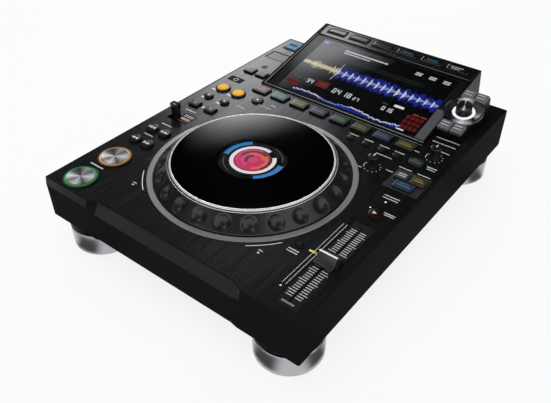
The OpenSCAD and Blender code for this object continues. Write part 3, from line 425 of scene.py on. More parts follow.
for k, (r0, r1) in enumerate(((5, 9), (9, 13), (13, 16.5), (16.5, 19.2))):
    for j in range(3):
        start = j * 120 + k * 31
        band = (4, 5, 6, 7, 4)[(j * 2 + k) % 5]
        arc(wheel_axis, r0, r1, start, start + 120, on_display, band, 16)
add_piece("wheel_display_picture", "case", wheel_lights)

# ---------- Cover glass and screen ----------
# A black-bordered cover glass lies flush in the hood over the screen module. The picture is a
# made-up one: a waveform, counters and level blocks, with bars where a title would be.

slope_frame = Matrix.Translation((0, 67, 87)) @ Matrix.Rotation(math.radians(12.14), 4, "X")


def outline(w, d, r, at, z, steps=4):
    """The points of a rectangle with round corners."""
    r = max(min(r, w / 2 - 0.01, d / 2 - 0.01), 0.01)
    points = []
    for x, y, start in ((w / 2 - r, d / 2 - r, 0), (r - w / 2, d / 2 - r, 90),
                        (r - w / 2, r - d / 2, 180), (w / 2 - r, r - d / 2, 270)):
        for k in range(steps + 1):
            a = math.radians(start + 90 * k / steps)
            points.append((at[0] + x + r * math.cos(a), at[1] + y + r * math.sin(a), z))
    return points


def loft(rings, bands={}):
    """Joins rings of points, lowest first, and closes both ends."""
    rows = [[bm.verts.new(p) for p in ring] for ring in rings]
    for k, (low, high) in enumerate(zip(rows, rows[1:])):
        for i in range(len(low)):
            j = (i + 1) % len(low)
            face = bm.faces.new((low[i], low[j], high[j], high[i]))
            face.material_index = bands.get(k, 0)
    bm.faces.new(rows[0][::-1])
    top = bm.faces.new(rows[-1])
    top.material_index = bands.get(len(rows) - 1, 0)


cover_glass = add_clear("toughened_cover_glass", "#f2f4f4", 0.05)
loft([outline(w, d, r, (5.2, 62), z) for w, d, r, z in ((224.2, 117.8, 1, -0.7),
    (224.2, 117.8, 1, -0.2), (223.8, 117.4, 0.8, 0))])
glass = add_piece("screen_cover_glass", "case", [cover_glass], matrix=slope_frame)
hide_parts("touch_glass")

border_ink = new_material("black_glass_ink", "#08080a", 0.5, (0.4, 0.002), 0.05)
for x0, s0, x1, s1 in ((-107, 3, 117.3, 7), (-107, 118, 117.3, 120.9), (-107, 7, -93, 118),
        (104, 7, 117.3, 118)):
    loft([outline(x1 - x0, s1 - s0, 0.01, ((x0 + x1) / 2, (s0 + s1) / 2), z, 1)
        for z in (-1.3, -0.75)])
add_piece("screen_border", "case", [border_ink], matrix=slope_frame)
dress("lcd_panel", screen_black)


def bar(x0, y0, x1, y1, z, index=0):
    """Draws a flat rectangle."""
    corners = ((x0, y0, z), (x1, y0, z), (x1, y1, z), (x0, y1, z))
    face = bm.faces.new([bm.verts.new(c) for c in corners])
    face.material_index = index


def bars(z, index, places):
    """Draws a rectangle at each of the places, (x0, y0, x1, y1)."""
    for place in places:
        bar(*place, z, index)


dice = random.Random(7)


def words(z, index, places):
    """Draws small blocks where a printed word would be: places are (x, y, width, height)."""
    for x, y, w, h in places:
        at = -w / 2
        while at < w / 2 - 0.3:
            block = min(h * dice.uniform(0.35, 0.75), w / 2 - at)
            bar(x + at, y - h / 2, x + at + block, y + h / 2, z, index)
            at += block + h * 0.22


lcd_lights = [add_light(*light) for light in (
    ("lcd_white", "#f0f0f4", 1.0), ("lcd_cream", "#f8e9be", 1.0), ("lcd_blue", "#1d31b6", 0.85),
    ("lcd_pale_blue", "#8fa4f0", 0.9), ("lcd_red", "#7c1414", 0.6), ("lcd_orange", "#c05a3c", 0.6),
    ("lcd_grey", "#5b5e63", 0.5), ("lcd_dark_blue", "#10165e", 0.8))]
WHITE, CREAM, BLUE, PALE, RED, ORANGE, GREY, DEEP = range(8)

# A pale grey glow that fades to black lies over the picture's upper left: a painted reflection on the
# screen.
painted_reflection_field = new_material("lcd_painted_reflection_field", "#050506", 0.4, specular=0.1, glow=("#ffffff", 0.5))
field_place = add_node(painted_reflection_field, "TexCoord")
field_turned = add_node(painted_reflection_field, "Mapping", {"vector_type": "TEXTURE", "Location": (-0.1, 0.19, 0),
    "Rotation": (0, 0, math.radians(-38)), "Scale": (0.1, 0.1, 0.1), 0: field_place.outputs["Object"]})
field_fade = add_node(painted_reflection_field, "TexGradient", {0: field_turned})
add_node(painted_reflection_field, "ValToRGB", {"Fac": field_fade, "stops": ((0, "#a9a9b0"), (1, "#030304"))},
    "Emission Color")
bar(-93, 7.5, 104, 118, -1.42)
add_piece("screen_painted_reflection", "case", [painted_reflection_field], matrix=slope_frame)

on_lcd = -1.36
on_picture = on_lcd + 0.02
# The waveform beats each 9.5 mm; the part left of the marker has been played and is cream.
x = -92.0
while x < 103:
    beat = (x + 39) % 9.5
    pulse = math.exp(-beat / 2.2)
    if x < -39:
        tall = 1.6 + 7 * dice.random() ** 2 + 2.5 * pulse
        bar(x, 66 - tall, x + 0.75, 66 + tall, on_lcd, CREAM)
    else:
        tall = 6.5 + 6.5 * dice.random() + 3 * pulse
        bar(x, 65 - tall, x + 0.8, 65 + tall, on_lcd, BLUE if dice.random() < 0.6 else DEEP)
        core = 0.8 + 1.6 * dice.random() + 6.5 * pulse
        bar(x, 65 - core, x + 0.85, 65 + core, on_picture, WHITE if beat < 2.2 else PALE)
    x += 1.05
bar(-39.4, 48, -38.8, 83, on_lcd + 0.04, WHITE)
words(on_lcd, WHITE, ((-22, 107.8, 64, 2.6), (-34, 103.0, 40, 2.0), (54, 110, 9, 2.2),
    (54, 106.6, 9, 2.2), (73, 110, 9, 2.2), (73, 106.6, 9, 2.2),
    (92, 110, 9, 2.2), (92, 106.6, 9, 2.2)))
# The overview of the whole track runs along the bottom.
x = -72.0
while x < 80:
    tall = 2.5 + 2.2 * math.sin(x / 11) + 2.2 * dice.random()
    bar(x, 8.5, x + 0.9, 8.5 + tall, on_lcd, DEEP if x < -20 else BLUE)
    bar(x, 8.5 + tall, x + 1.2, 10 + tall, on_lcd, PALE if -30 < x < 10 else WHITE)
    x += 1.25
level_blocks = [(79 + 5.8 * k, 13 + 8.5 * j, 83.6 + 5.8 * k, 19.5 + 8.5 * j)
    for k in range(4) for j in range(3)]
bars(on_lcd, PALE, ((-91, 110, -84, 114),))
bars(on_lcd, GREY, ((-50, 88, 70, 88.5), (-50, 92, 70, 92.5), (-86, 32, -81.5, 37),
    (-78, 32, -73.5, 37), (-70, 32, -65.5, 37), (42, 40, 50, 42)))
bars(on_lcd, RED, [(-80, 110, -66, 113.5), (-89, 19, -70, 27), (-51, 29, -33, 41)] + level_blocks)
bars(on_lcd, WHITE, ((57, 41, 70, 45), (78, 9, 88, 11)))
bars(on_lcd, ORANGE, ((84, 38.5, 92, 40.5), (94, 38.5, 102, 40.5)))
bar(-47, 34, -37, 35.6, on_picture, ORANGE)

# Seven-segment digits: the segments that each figure lights
SEGMENTS = {"0": "abcdef", "1": "bc", "2": "abdeg", "4": "bcfg", "6": "acdefg", "7": "abc",
            "8": "abcdefg", "9": "abcdfg"}
# Each counter: its digits, where it starts, the step to the next digit, and a figure's
# width, height and stroke
for digits, x, s, step, w, h, t in (
        ("04", -24, 28, 6.6, 4.6, 8.5, 1.1), ("18", -8.8, 28, 6.6, 4.6, 8.5, 1.1),
        ("27", 6.5, 28, 4.6, 3.2, 5.5, 0.8), ("016", 46, 29, 5.4, 3.8, 7, 0.9),
        ("94", -64, 30, 5.2, 3.6, 7.5, 0.9)):
    for digit in digits:
        middle = s + h / 2
        strokes = {"a": (x, s + h - t, x + w, s + h), "g": (x, middle - t / 2, x + w, middle + t / 2),
            "d": (x, s, x + w, s + t), "b": (x + w - t, middle, x + w, s + h),
            "c": (x + w - t, s, x + w, middle), "f": (x, middle, x + t, s + h),
            "e": (x, s, x + t, middle)}
        bars(on_lcd, WHITE, [strokes[name] for name in SEGMENTS[digit]])
        x += step
add_piece("screen_picture", "case", lcd_lights, matrix=slope_frame)

# ---------- Function keys behind the screen ----------
# Six key tops stand on one glossy black web that flexes under the finger. The web and the
# keys are one ABS moulding, piano black on the web and the key tops; the keys' walls are satin,
# and a satin sheet round each key, widest at its front, is painted shadow on the web.

gloss_black = new_material("piano_black_lacquered_abs", "#0c0c0d", 0.26, (4, 0.002), 0.03, specular=1.0,
    others={"Coat Weight": 1.0, "Coat Roughness": 0.12, "Coat IOR": 2.6})
key_light = add_light("lit_key_mark", "#dfe3e6", 0.55)
blue_light = add_light("lit_blue_key_mark", "#3f83a8", 0.5)
key_wall_and_shadow_satin = new_material("satin_black_key_wall_and_painted_shadow", "#0d0e11", 0.4, (0.6, 0.004), 0.04, specular=0.12)


def key_cap(at, w, d, r, low, top, side, edge=0.5, crown=0.12):
    """Draws a key cap with round upper edges and a slightly crowned top; side is its walls' material."""
    inner = min(w, d) / 2
    rings = [outline(w, d, r, at, low), outline(w, d, r, at, top - edge)]
    for inset, drop in ((0.1, 0.5), (0.4, 0.15), (1, 0)):
        rings.append(outline(w - 2 * edge * inset, d - 2 * edge * inset, r - edge * inset * 0.5, at,
            top - edge * drop))
    rings.append(outline(w - inner * 0.9, d - inner * 0.9, r, at, top + crown * 0.7))
    rings.append(outline(w - inner * 1.7, d - inner * 1.7, r, at, top + crown))
    start = len(bm.faces)
    loft(rings)
    bm.faces.ensure_lookup_table()
    for face in bm.faces[start:]:
        if face.calc_center_median().z < top - edge * 0.6:
            face.material_index = side


loft([outline(w, d, r, (3.2, 134.75), z) for w, d, r, z in ((220.3, 21.5, 0.6, -1.6),
    (220.3, 21.5, 0.6, -0.2), (219.9, 21.1, 0.5, 0))])
for k in range(6):
    x = 3.2 + (k - 2.5) * 35.6
    # A dull satin sheet round each key, reaching 4 mm in front of it, paints the key's shadow on the web.
    bar(x - 15, 128.8, x + 15, 143, 0.03, 3)
    key_cap((x, 137.4), 28, 9.4, 1, 0.03, 0.55, 3, edge=0.35, crown=0.04)
    if k in (3, 4):
        words(0.64, 2, ((x, 138.4, 15, 1.8), (x, 135.4, 20, 0.8)))
    if k == 5:
        words(0.64, 1, ((x - 2, 139, 17, 1.6), (x - 3, 135.8, 12, 1.6)))
strip = add_piece("function_key_strip", "function_keys_body",
    [gloss_black, key_light, blue_light, key_wall_and_shadow_satin], matrix=slope_frame)
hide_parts("function_keys")

# ---------- Sockets at the back ----------
# A steel rear plate painted black carries the mains inlet, rocker switch, network, data and
# round jack sockets. The jacks are nickel plated and the mouths are black moulding.

# Nickel has a warm tint beside steel; glass-filled nylon is dull and slightly rough.
nickel = new_material("nickel_plated_brass", "#b9b4a8", 0.24, (0.6, 0.004), 0.05, metallic=1)
dress("signal_sockets", nickel)
socket_black = new_material("glass_filled_black_nylon", "#151517", 0.5, (0.5, 0.02), 0.06)
dress("ac_inlet", socket_black)
dress("power_rocker", socket_black)

# ---------- Play and cue buttons ----------
# Each is a lit lens ring round a spun aluminium disc with a shallow cone, all on one plunger.
# The disc is turned; its bright and dark fans are painted highlights in its base colour.


def paint_highlight_fans(material, code, stops):
    """Paints light and dark fans round a turned face into its base colour, as painted highlights: a colour
    at each of these parts of a turn.
    """
    place = add_node(material, "TexCoord")
    centred = add_node(material, "VectorMath", {"operation": "SUBTRACT", 1: (0.5, 0.5, 0),
        0: place.outputs["Generated"]})
    fans = add_node(material, "TexGradient", {"gradient_type": "RADIAL", 0: centred})
    add_node(material, "ValToRGB", {"Fac": fans, "stops": ((0, code), *stops, (1, code))}, "Base Color")


spun_disc = new_material("diamond_spun_aluminium", "#b4b5b8", 0.38, metallic=0.3,
    others={"Anisotropic": 0.6})
add_node(spun_disc, "Tangent", {"direction_type": "RADIAL", "axis": "Z"}, "Tangent")
# Painted highlights: bright and dark fans in the disc's base colour.
paint_highlight_fans(spun_disc, "#55565a",
         ((0.1, "#e8e8ea"), (0.2, "#6a6b6f"), (0.32, "#c8c8cb"), (0.42, "#3a3b3e"),
          (0.58, "#d8d8da"), (0.7, "#5c5d61"), (0.8, "#9c9da0"), (0.9, "#2e2f32")))
# Black for the real collars, and as painted shade on the square keys' walls.
collar_and_key_wall_shade_black = new_material("satin_black_collar_and_painted_key_wall_shade", "#0b0b0c", 0.35, (0.5, 0.01), 0.05)
for node, slot, bright_code, dark_code in (
        ("play_button", "play_lens", "#3fae62", "#0e4a24"),
        ("cue_button", "cue_lens", "#f0c489", "#6a4420")):
    low, high, middle = solids(node)[0]
    top = high.z - 1
    lens = add_light(f"{node}_lens", bright_code, 0.9)
    halo = add_light(f"{node}_lens_edge", dark_code, 1.0)
    turn([(0, 81), (18.2, 81), (18.2, top - 0.5), (17.95, top - 0.1), (17.6, top), (17.3, top),
        (16.1, top), (14.9, top - 0.35), (14.55, top - 0.35), (14.5, top + 0.75), (14.2, top + 0.97),
        (13.5, top + 0.97), (12.9, top + 0.75), (7, top + 0.55), (0.5, top + 0.3), (0, top + 0.3)],
        middle, 96, {2: 1, 3: 1, 4: 1, 5: 1, 6: 2, 8: 3, 9: 3, 10: 3, 11: 3, 12: 3, 13: 3, 14: 3})
    made = add_piece(f"{node}_piece", f"{node}_body", [collar_and_key_wall_shade_black, halo, lens, spun_disc], 25)
    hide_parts(node)

# ---------- Small round buttons ----------
# Search, track, beat loop and memory buttons are black silicone-topped plungers with a
# printed mark; the loop buttons have an amber lens in a black collar.

button_black = new_material("moulded_black_key_plastic", "#0e0e10", 0.34, (0.5, 0.01), 0.05, specular=0.3)
icon_cream = add_light("lit_cream_icon", "#e8dcc4", 0.75)


def round_cap(at, r, top):
    """Draws a round button with a soft edge and a domed top."""
    turn([(0, 81), (r, 81), (r, top - 0.7), (r - 0.084, top - 0.35), (r - 0.28, top - 0.105),
        (r - 0.7, top), (r * 0.6, top + 0.21), (r * 0.3, top + 0.315), (0, top + 0.35)], at, 48)


def triangle(x, y, size, side, z, index):
    """Draws a small triangle that points left or right."""
    corners = [(x - side * size / 2, y - size / 2, z), (x + side * size / 2, y, z),
        (x - side * size / 2, y + size / 2, z)]
    face = bm.faces.new([bm.verts.new(c) for c in corners[::side]])
    face.material_index = index


olive_rubber = new_material("olive_tinted_black_plastic", "#17180f", 0.35, (0.5, 0.01), 0.05, specular=0.3)
olive_light = add_light("lit_olive_ring", "#77784a", 0.5)
red_lens = new_material("red_tinted_polycarbonate", "#1e0708", 0.3, (1.2, 0.02), 0.05, specular=0.3)
black_top = [button_black, icon_cream]
olive_top = [olive_rubber, olive_light, icon_cream]
red_top = [red_lens, icon_cream]
# Each button: its node, piece, slot and radius (0: by its solid), how far its edge lies below the
# solid's top, and its materials
for node, piece, slot, radius, drop, materials in (
        ("search_back", "search_back_piece", "button_black", 7.5, 0.35, black_top),
        ("search_forward", "search_forward_piece", "button_black", 7.5, 0.35, black_top),
        ("track_keys", "track_keys_piece", "button_black", 7.5, 0.35, black_top),
        ("beat_loop_keys", "beat_loop_keys_piece", "button_black", 6, 0.3, black_top),
        ("memory_keys", "memory_keys_piece", "memory_key_plastic", 0, 0.25, olive_top),
        ("tempo_range_button", "tempo_range_piece", "button_black", 4, 0.2, [button_black]),
        ("master_tempo_button", "master_tempo_piece", "tempo_red_plastic", 7, 0.3, red_top)):
    for low, high, middle in solids(node):
        x, y, z = middle.x, middle.y, high.z
        r = radius or (high.x - low.x) / 2 - 0.8
        round_cap(middle, r, z - drop)
        side = -1 if x < -135 else 1
        if node in ("search_back", "search_forward", "track_keys"):
            triangle(x - 2.4, y, 4.8, side, z + 0.06, 1)
            triangle(x + 2.4, y, 4.8, side, z + 0.06, 1)
        if node == "track_keys":
            bar(x + side * 4.7 - 0.5, y - 2, x + side * 4.7 + 0.5, y + 2, z + 0.02, 1)
        if node == "beat_loop_keys":
            dot(middle, 1.5, z + 0.06, 1)
        if node == "memory_keys" and r > 6:
            arc(middle, 4.8, 5.3, 0, 360, z + 0.09, 1, 32)
            dot(middle, 1.6, z + 0.14, 2)
        if node == "master_tempo_button":
            triangle(x, y, 4.5, 1, z + 0.07, 1)
    made = add_piece(piece, f"{node}_body", materials)
    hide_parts(node)

# The amber lens is tinted right through and lit from below, so it glows a little all over.
amber_lens = new_material("amber_polycarbonate_lens", "#b8820a", 0.45, (1.4, 0.02), 0.05, specular=0.15,
    glow=("#f0b414", 0.4))
amber_mark = add_light("lit_amber_mark", "#ffd670", 0.75)
for node in ("loop_in_button", "loop_out_button"):
    low, high, middle = solids(node)[0]
    turn([(0, 81), (9.6, 81), (9.6, 87), (9.4, 87.3), (9.1, 87.4), (7.6, 87.4), (7.3, 87.1),
        (7.2, 87.8), (6.95, 88.15), (6.4, 88.3), (4, 88.38), (0, 88.4)], middle, 64,
        {6: 1, 7: 1, 8: 1, 9: 1, 10: 1})
    words(88.45, 2, ((middle.x, middle.y, 6, 1.4),))
    made = add_piece(f"{node}_piece", f"{node}_body",
        [collar_and_key_wall_shade_black, amber_lens, amber_mark])
    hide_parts(node)

# ---------- Square keys ----------
# The rest are tinted translucent caps over a lamp, matt on the face so that they look grey
# and coloured at once. Bars and a dot stand in the places of their legends. Their walls
# are black: painted shade under the lit tops.

# Each key: its node, its slot, the colours of its plastic and its mark, and its corners' radius
for node, slot, colour, mark_colour, corner in (
        ("hot_cue_a", "hot_cue_a_plastic", "#4c3a41", "#d4a4b0", 1),
        ("hot_cue_b", "hot_cue_b_plastic", "#33484b", "#8ac0bc", 1),
        ("hot_cue_c", "hot_cue_c_plastic", "#383c28", "#b8bc7c", 1),
        ("hot_cue_d", "hot_cue_d_plastic", "#221f2e", "#a090dc", 1),
        ("hot_cue_e", "hot_cue_e_plastic", "#1f2c22", "#88d088", 1),
        ("hot_cue_f", "hot_cue_f_plastic", "#2b271a", "#d4b858", 1),
        ("hot_cue_g", "hot_cue_g_plastic", "#1d232e", "#7a9cd8", 1),
        ("hot_cue_h", "hot_cue_h_plastic", "#2a2919", "#d4c850", 1),
        ("source_keys", "source_key_plastic", "#5a4449", "#9a6a6a", 1),
        ("beat_jump_keys", "button_black", "#101012", "#e8e2d4", 1),
        ("jog_mode_key", "jog_mode_plastic", "#1c221d", "#7ab094", 6),
        ("sync_key", "sync_plastic", "#2a2c34", "#f0f2f6", 1),
        ("key_sync_key", "key_sync_plastic", "#302a16", "#e0d060", 2),
        ("master_key", "master_plastic", "#14283a", "#7ab0d8", 1)):
    cap_plastic = new_material(f"{node}_tinted_polycarbonate", colour, 0.38, (0.8, 0.01), 0.05,
        glow=(colour, 0.12))
    mark = add_light(f"{node}_lit_mark", mark_colour, 0.5)
    for low, high, middle in solids(node):
        w = high.x - low.x - 1.6
        d = high.y - low.y - 1.6
        on_key = high.z + 0.04
        # The key's walls take black, as painted shade.
        key_cap(middle, w, d, corner, 81, high.z - 0.12, 2)
        if node == "beat_jump_keys":
            dot(middle, 1.4, on_key, 1)
        elif node == "sync_key":
            words(on_key, 1, ((middle.x, middle.y + 2, 9, 2.2), (middle.x, middle.y - 1.6, 9, 2.2)))
        else:
            words(on_key, 1, ((middle.x, middle.y - 1.2, w * 0.7, 1.3),
                (middle.x - 1, middle.y + 2.4, w * 0.5, 0.9)))
    made = add_piece(f"{node}_piece", f"{node}_body", [cap_plastic, mark, collar_and_key_wall_shade_black])
    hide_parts(node)

# ---------- Rotary selector and its keys ----------
# A knurled knob stands in a dished chrome ring with a white light guide, on a pod beside the
# screen. Four pale rubber-topped keys sit round it.

dark_chrome = new_material("dark_chrome_plated_dish", "#6d6f73", 0.26, (3, 0.004), 0.03, metallic=0.4)
# Painted highlights: bright crescents and dark fans in the dish's base colour.
paint_highlight_fans(dark_chrome, "#2c2d30",
         ((0.21, "#151618"), (0.26, "#b4b6ba"), (0.3, "#ffffff"), (0.35, "#b4b6ba"),
          (0.4, "#151618"), (0.56, "#4a4b4f"), (0.71, "#151618"), (0.76, "#c4c6ca"),
          (0.8, "#ffffff"), (0.84, "#c4c6ca"), (0.89, "#151618")))
guide_white = add_light("lit_white_light_guide", "#f4f6f8", 1.0)
dish_at = (133.9, 67.5)
turn([(9.6, 1.5), (9.6, 1.75), (12.7, 1.75), (13.1, 1.6), (20.0, 4.55), (20.6, 4.75), (21.4, 4.7),
    (21.95, 4.35), (22.25, 3.8), (22.25, 1.0), (21.9, 1.0), (21.9, 1.45)], dish_at, 96,
    {0: 1, 1: 1, 2: 1})
add_piece("selector_dish", "case", [dark_chrome, guide_white], matrix=slope_frame)

knob_chrome = new_material("polished_black_chrome_knob", "#36373a", 0.16, (2, 0.004), 0.03, metallic=0.9)
knob_face = new_material("spun_black_chrome_face", "#36373a", 0.24, (2, 0.002), 0.03, metallic=0.4)
# Painted highlights: bright and dark fans in the knob face's base colour.
paint_highlight_fans(knob_face, "#232427",
         ((0.2, "#101113"), (0.26, "#55565a"), (0.3, "#ffffff"), (0.34, "#55565a"), (0.4, "#101113"),
          (0.6, "#303135"), (0.73, "#101113"), (0.8, "#b4b6ba"), (0.86, "#101113")))


def knurled(at, flutes, rings):
    """The outlines up a knurled knob, from (radius, depth of its flutes, height) of each."""
    outlines = []
    for r, depth, z in rings:
        points = []
        for k in range(flutes * 4):
            a = 2 * math.pi * k / (flutes * 4)
            cut = depth * (0.5 - 0.5 * math.cos(math.pi * k / 2))
            points.append((at[0] + (r - cut) * math.cos(a), at[1] + (r - cut) * math.sin(a), z))
        outlines.append(points)
    return outlines


loft(knurled(dish_at, 24, ((8.6, 0, 2.6), (9.3, 0, 3.0), (9.3, 0.5, 3.6), (9.2, 0.5, 10.2),
    (9.2, 0, 10.8), (8.8, 0, 11.7), (8.0, 0, 12.3), (6.5, 0, 12.5), (3.5, 0, 12.2), (0.5, 0, 12.1))),
    {5: 1, 6: 1, 7: 1, 8: 1, 9: 1})
knob = add_piece("selector_knob_piece", "selector_cap", [knob_chrome, knob_face],
    matrix=slope_frame)
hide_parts("selector_knob")
shaft_steel = new_material("turned_steel_shaft", "#a9abad", 0.25, (0.5, 0.004), metallic=1)
dress("selector_shaft", shaft_steel)

# Silicone key tops are soft and dull, without any sharp light on them.
pale_rubber = new_material("pale_grey_key_rubber", "#5c5e61", 0.42, (0.6, 0.01), 0.05)
dress("pod_keys", pale_rubber)
pod_mark = add_light("lit_pod_key_mark", "#d8dadc", 0.9)
pod_dark_blocks = new_material("dark_pod_key_blocks", "#1a1a1c", 0.5, (0.3, 0.004), 0.05)
for low, high, middle in solids("pod_keys"):
    # The keys' box stands upright, so its top lies above the middle of the sloping face.
    face_z = high.z - (high.y - low.y) * 0.105
    x, y, z = slope_frame.inverted() @ Vector((middle.x, middle.y, face_z))
    # Each key takes a light row, a dark row of blocks between, and a light row.
    for shift, index in ((1.8, 0), (-0.4, 1), (-2.6, 0)):
        words(4.66, index, ((x, y + shift, 9, 1.4),))
add_piece("pod_key_marks", "pod_keys_body", [pod_mark, pod_dark_blocks],
    matrix=slope_frame)

# ---------- Knobs, lever and fader ----------
# Two small knurled potentiometer knobs with a white pointer, a black paddle lever, and the
# tempo fader's cap, whose faces sink to a ridge with a white line. All are moulded ABS.

knob_black = new_material("semi_gloss_black_knob", "#19191b", 0.25, (0.5, 0.008), 0.04)
print_white = new_material("white_pad_print", "#e4e4e2", 0.5, (0.3, 0.005), 0.04)
for node, body in (("vinyl_speed_knob", "vinyl_speed"), ("jog_adjust_knob", "jog_adjust")):
    low, high, middle = solids(node)[0]
    x, y = middle.x, low.y + 6
    loft(knurled((x, y), 20, ((6, 0, 85.9), (6, 0.35, 86.3), (5.9, 0.35, 97.6), (5.9, 0, 98.2),
        (5.6, 0, 98.9), (5.0, 0, 99.3), (3, 0, 99.35), (0.5, 0, 99.35))))
    bar(x - 0.5, y + 0.5, x + 0.5, y + 5.2, 99.38, 1)
    loft([[(x + across, y + out, z) for across, out in ((-0.5, 5.55), (0.5, 5.55), (0.5, 6.05),
        (-0.5, 6.05))] for z in (87, 98.6)], {0: 1, 1: 1})
    made = add_piece(f"{node}_piece", body, [knob_black, print_white])
    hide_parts(node)

low, high, middle = solids("direction_lever")[0]
loft([outline(w, d, r, middle, z) for w, d, r, z in ((9, 7, 1, 71), (9, 7, 1, 84),
    (9.4, 6.6, 1, 86.5), (10, 6.4, 1.2, 90), (11.2, 7.2, 1.4, 95), (11.8, 8, 1.6, 98.6),
    (11.6, 7.8, 1.6, 99.8), (10.8, 7, 1.6, 100.5), (9.4, 5.6, 1.4, 100.8), (8.6, 4.4, 1.2, 100.2),
    (6, 2.4, 1, 99.9))])
made = add_piece("direction_lever_piece", "lever", [knob_black])
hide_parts("direction_lever")

# The fader's cap has a satin face, so each of its slopes takes its own even tone.
fader_grey = new_material("satin_charcoal_fader_cap", "#2b2c2f", 0.3, (0.6, 0.008), 0.05)
x, y, z = solids("fader_knob")[0][2]
half = [(-10, 86.1), (-10, 88.4), (-9.3, 89.0), (-6.5, 89.7), (-4, 91), (-2.4, 93.2), (-1.5, 95.1),
    (-1.1, 95.55), (-0.5, 95.6)]
profile = half[:1] + [(-across, up) for across, up in half] + half[:0:-1]
sections = []
for end, inset in ((-10, 0.6), (-9.7, 0.15), (-9.2, 0), (9.2, 0), (9.7, 0.15), (10, 0.6)):
    shrunk = 1 - inset / 10
    sections.append([(x + end, y + across * shrunk, 86.1 + (up - 86.1) * shrunk)
        for across, up in profile])
loft(sections)
for face in bm.faces:
    if face.calc_center_median().z > 95.5 and abs(face.normal.x) < 0.5:
        face.material_index = 1
cap = add_piece("fader_cap_piece", "fader", [fader_grey, print_white], 30)
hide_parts("fader_knob")
bar(x - 9.2, y - 0.45, x + 9.2, y + 0.45, 95.64)
for k in range(3):
    loft([outline(18, 0.55, 0.2, (x, y - 7.9 + 1.5 * k), z) for z in (88.6, 89.85 + 0.25 * k)],
        {0: 1, 1: 1})
add_piece("fader_cap_line", "fader", [print_white, fader_grey])
loft([outline(1.6, 8, 0.2, (x, y), z) for z in (72, 86.15)])
add_piece("fader_stem", "fader", [shaft_steel])
folded_steel = new_material("galvanised_fader_frame", "#85888b", 0.4, (3, 0.01), 0.06, metallic=1)
dress("tempo_fader_unit", folded_steel)

# ---------- Card door and USB port ----------
# The card door is a thin moulded flap in the panel. The USB port is a clear blue block that
# stands 2 mm proud, lit from inside, with the metal socket sunk in its top.

door_plastic = new_material("satin_dark_grey_flap", "#4a4c4a", 0.36, (0.5, 0.01), 0.04)
dress("sd_door", door_plastic)
usb_blue = new_material("smoked_blue_polycarbonate", "#33536a", 0.4, (1.5, 0.01), 0.04, specular=0.4,
    glow=("#4a86ac", 0.3))
dress("usb_port", usb_blue)

# ---------- Printing on the panel ----------
# Legends are screen-printed in off-white ink on the anodised plate. Rows of small blocks stand
# for the words; scales, arcs and marks are drawn as they are.

print_inks = [new_material("off_white_screen_print", "#dcdcd8", 0.5, (0.3, 0.004), 0.05),
              new_material("gloss_black_screen_print", "#070708", 0.45, (0.4, 0.003), 0.05, specular=0.03),
              new_material("satin_grey_recess_lacquer", "#45464a", 0.42, (0.6, 0.004), 0.05),
              new_material("smoked_acrylic_inset", "#2a2b2e", 0.3, (0.8, 0.004), 0.05, specular=0.3),
              add_light("lit_red_mark", "#c02818", 0.8), add_light("lit_amber_dot", "#e8d870", 0.9),
              add_light("lit_white_dot", "#f4f4f0", 1.0), add_light("lit_violet_mark", "#5a5aa0", 0.6),
              new_material("satin_black_well_lacquer", "#18181a", 0.5, (0.5, 0.004), 0.05, specular=0.1),
              new_material("grey_screen_print", "#8a8a88", 0.5, (0.3, 0.004), 0.05)]
INK, BLACK, RECESS, INSET, LIT_RED, LIT_AMBER, LIT_WHITE, LIT_BLUE, WELL, GREY_INK = range(10)
on_panel = 85.45
over_print = on_panel + 0.03

words(on_panel, INK, ((-137, -77.6, 15, 1.5), (-138, -104.6, 14, 1.5), (-137, -37.6, 16, 1.5),
    (-137, -179.6, 20, 1.7), (-96, 5.9, 12, 1.0)))
words(on_panel, LIT_BLUE, ((-90, 9.5, 10, 1.0),))
# A label plate by the lever, and marks, flush keys and lines down the left column
for y, index in ((-47.4, INK), (-50.2, INK), (-54.4, INK), (-56.6, INK), (-60.6, LIT_RED)):
    words(over_print, index, ((-128.6, y, 14, 1.3),))
bars(on_panel, BLACK, ((-138, -64, -120, -44.4), (-157, 49.5, -135, 61.5), (-159, 130.3, -125.4, 131.6),
    (-159, 130.3, -157.4, 152), (-159, 151, -125.4, 152),
    (-156.5, 166.9, -134, 168.3)))
bars(on_panel, INK, ((-154.5, 18.2, -139.5, 20.8), (-151.8, -4.8, -145, -2.2), (-134, 159.4, -130, 160),
    (-129.5, 18.2, -114.5, 20.8), (-126.8, -4.8, -120, -2.2)))
bm.faces.new([bm.verts.new((-131.4 + x, -22.4 + y, on_panel))
    for x, y in ((0, -2.4), (2.4, 0), (0, 2.4), (-2.4, 0))])
arc((-146, 55.5), 2.6, 3.3, 0, 360, over_print, INK)
dot((-138, 105), 4.2, on_panel, BLACK, 32)
arc((-138, 105), 1.2, 1.9, 200, 430, over_print, INK, 32)
arc((-132, 163.4), 1.6, 2.3, 0, 360, on_panel, INK)
# Legends: behind the wheel, over the memory buttons, down the right column, at the front corners
words(on_panel, INK, (
    (-65, 31.4, 6, 1.8), (-73, 23.5, 20, 0.9), (46.6, 38.3, 12, 1.3), (66.5, 38.3, 12, 1.3),
    (86.4, 38.3, 12, 1.3), (105.3, 38.3, 12, 1.3), (95, 22.6, 20, 1.2), (137, 92.4, 28, 1.3),
    (137, 82.4, 28, 1.3), (118, 52, 8, 1.2), (141, 67.5, 20, 1.2), (113.5, 2, 8, 1.2), (82, -10.5, 9, 1.2),
    (147.5, 33.4, 12, 1.6), (148, 29.6, 10, 1.2), (125, 15.6, 15, 1.2), (147, 15.6, 15, 1.2),
    (138.5, -35.6, 17, 1.2), (138.5, -39.6, 17, 1.2), (150.5, -60.5, 13, 1.2), (150.5, -63.2, 11, 1.2),
    (-83, -175.2, 5, 1.1), (83, -175.2, 5, 1.1)))
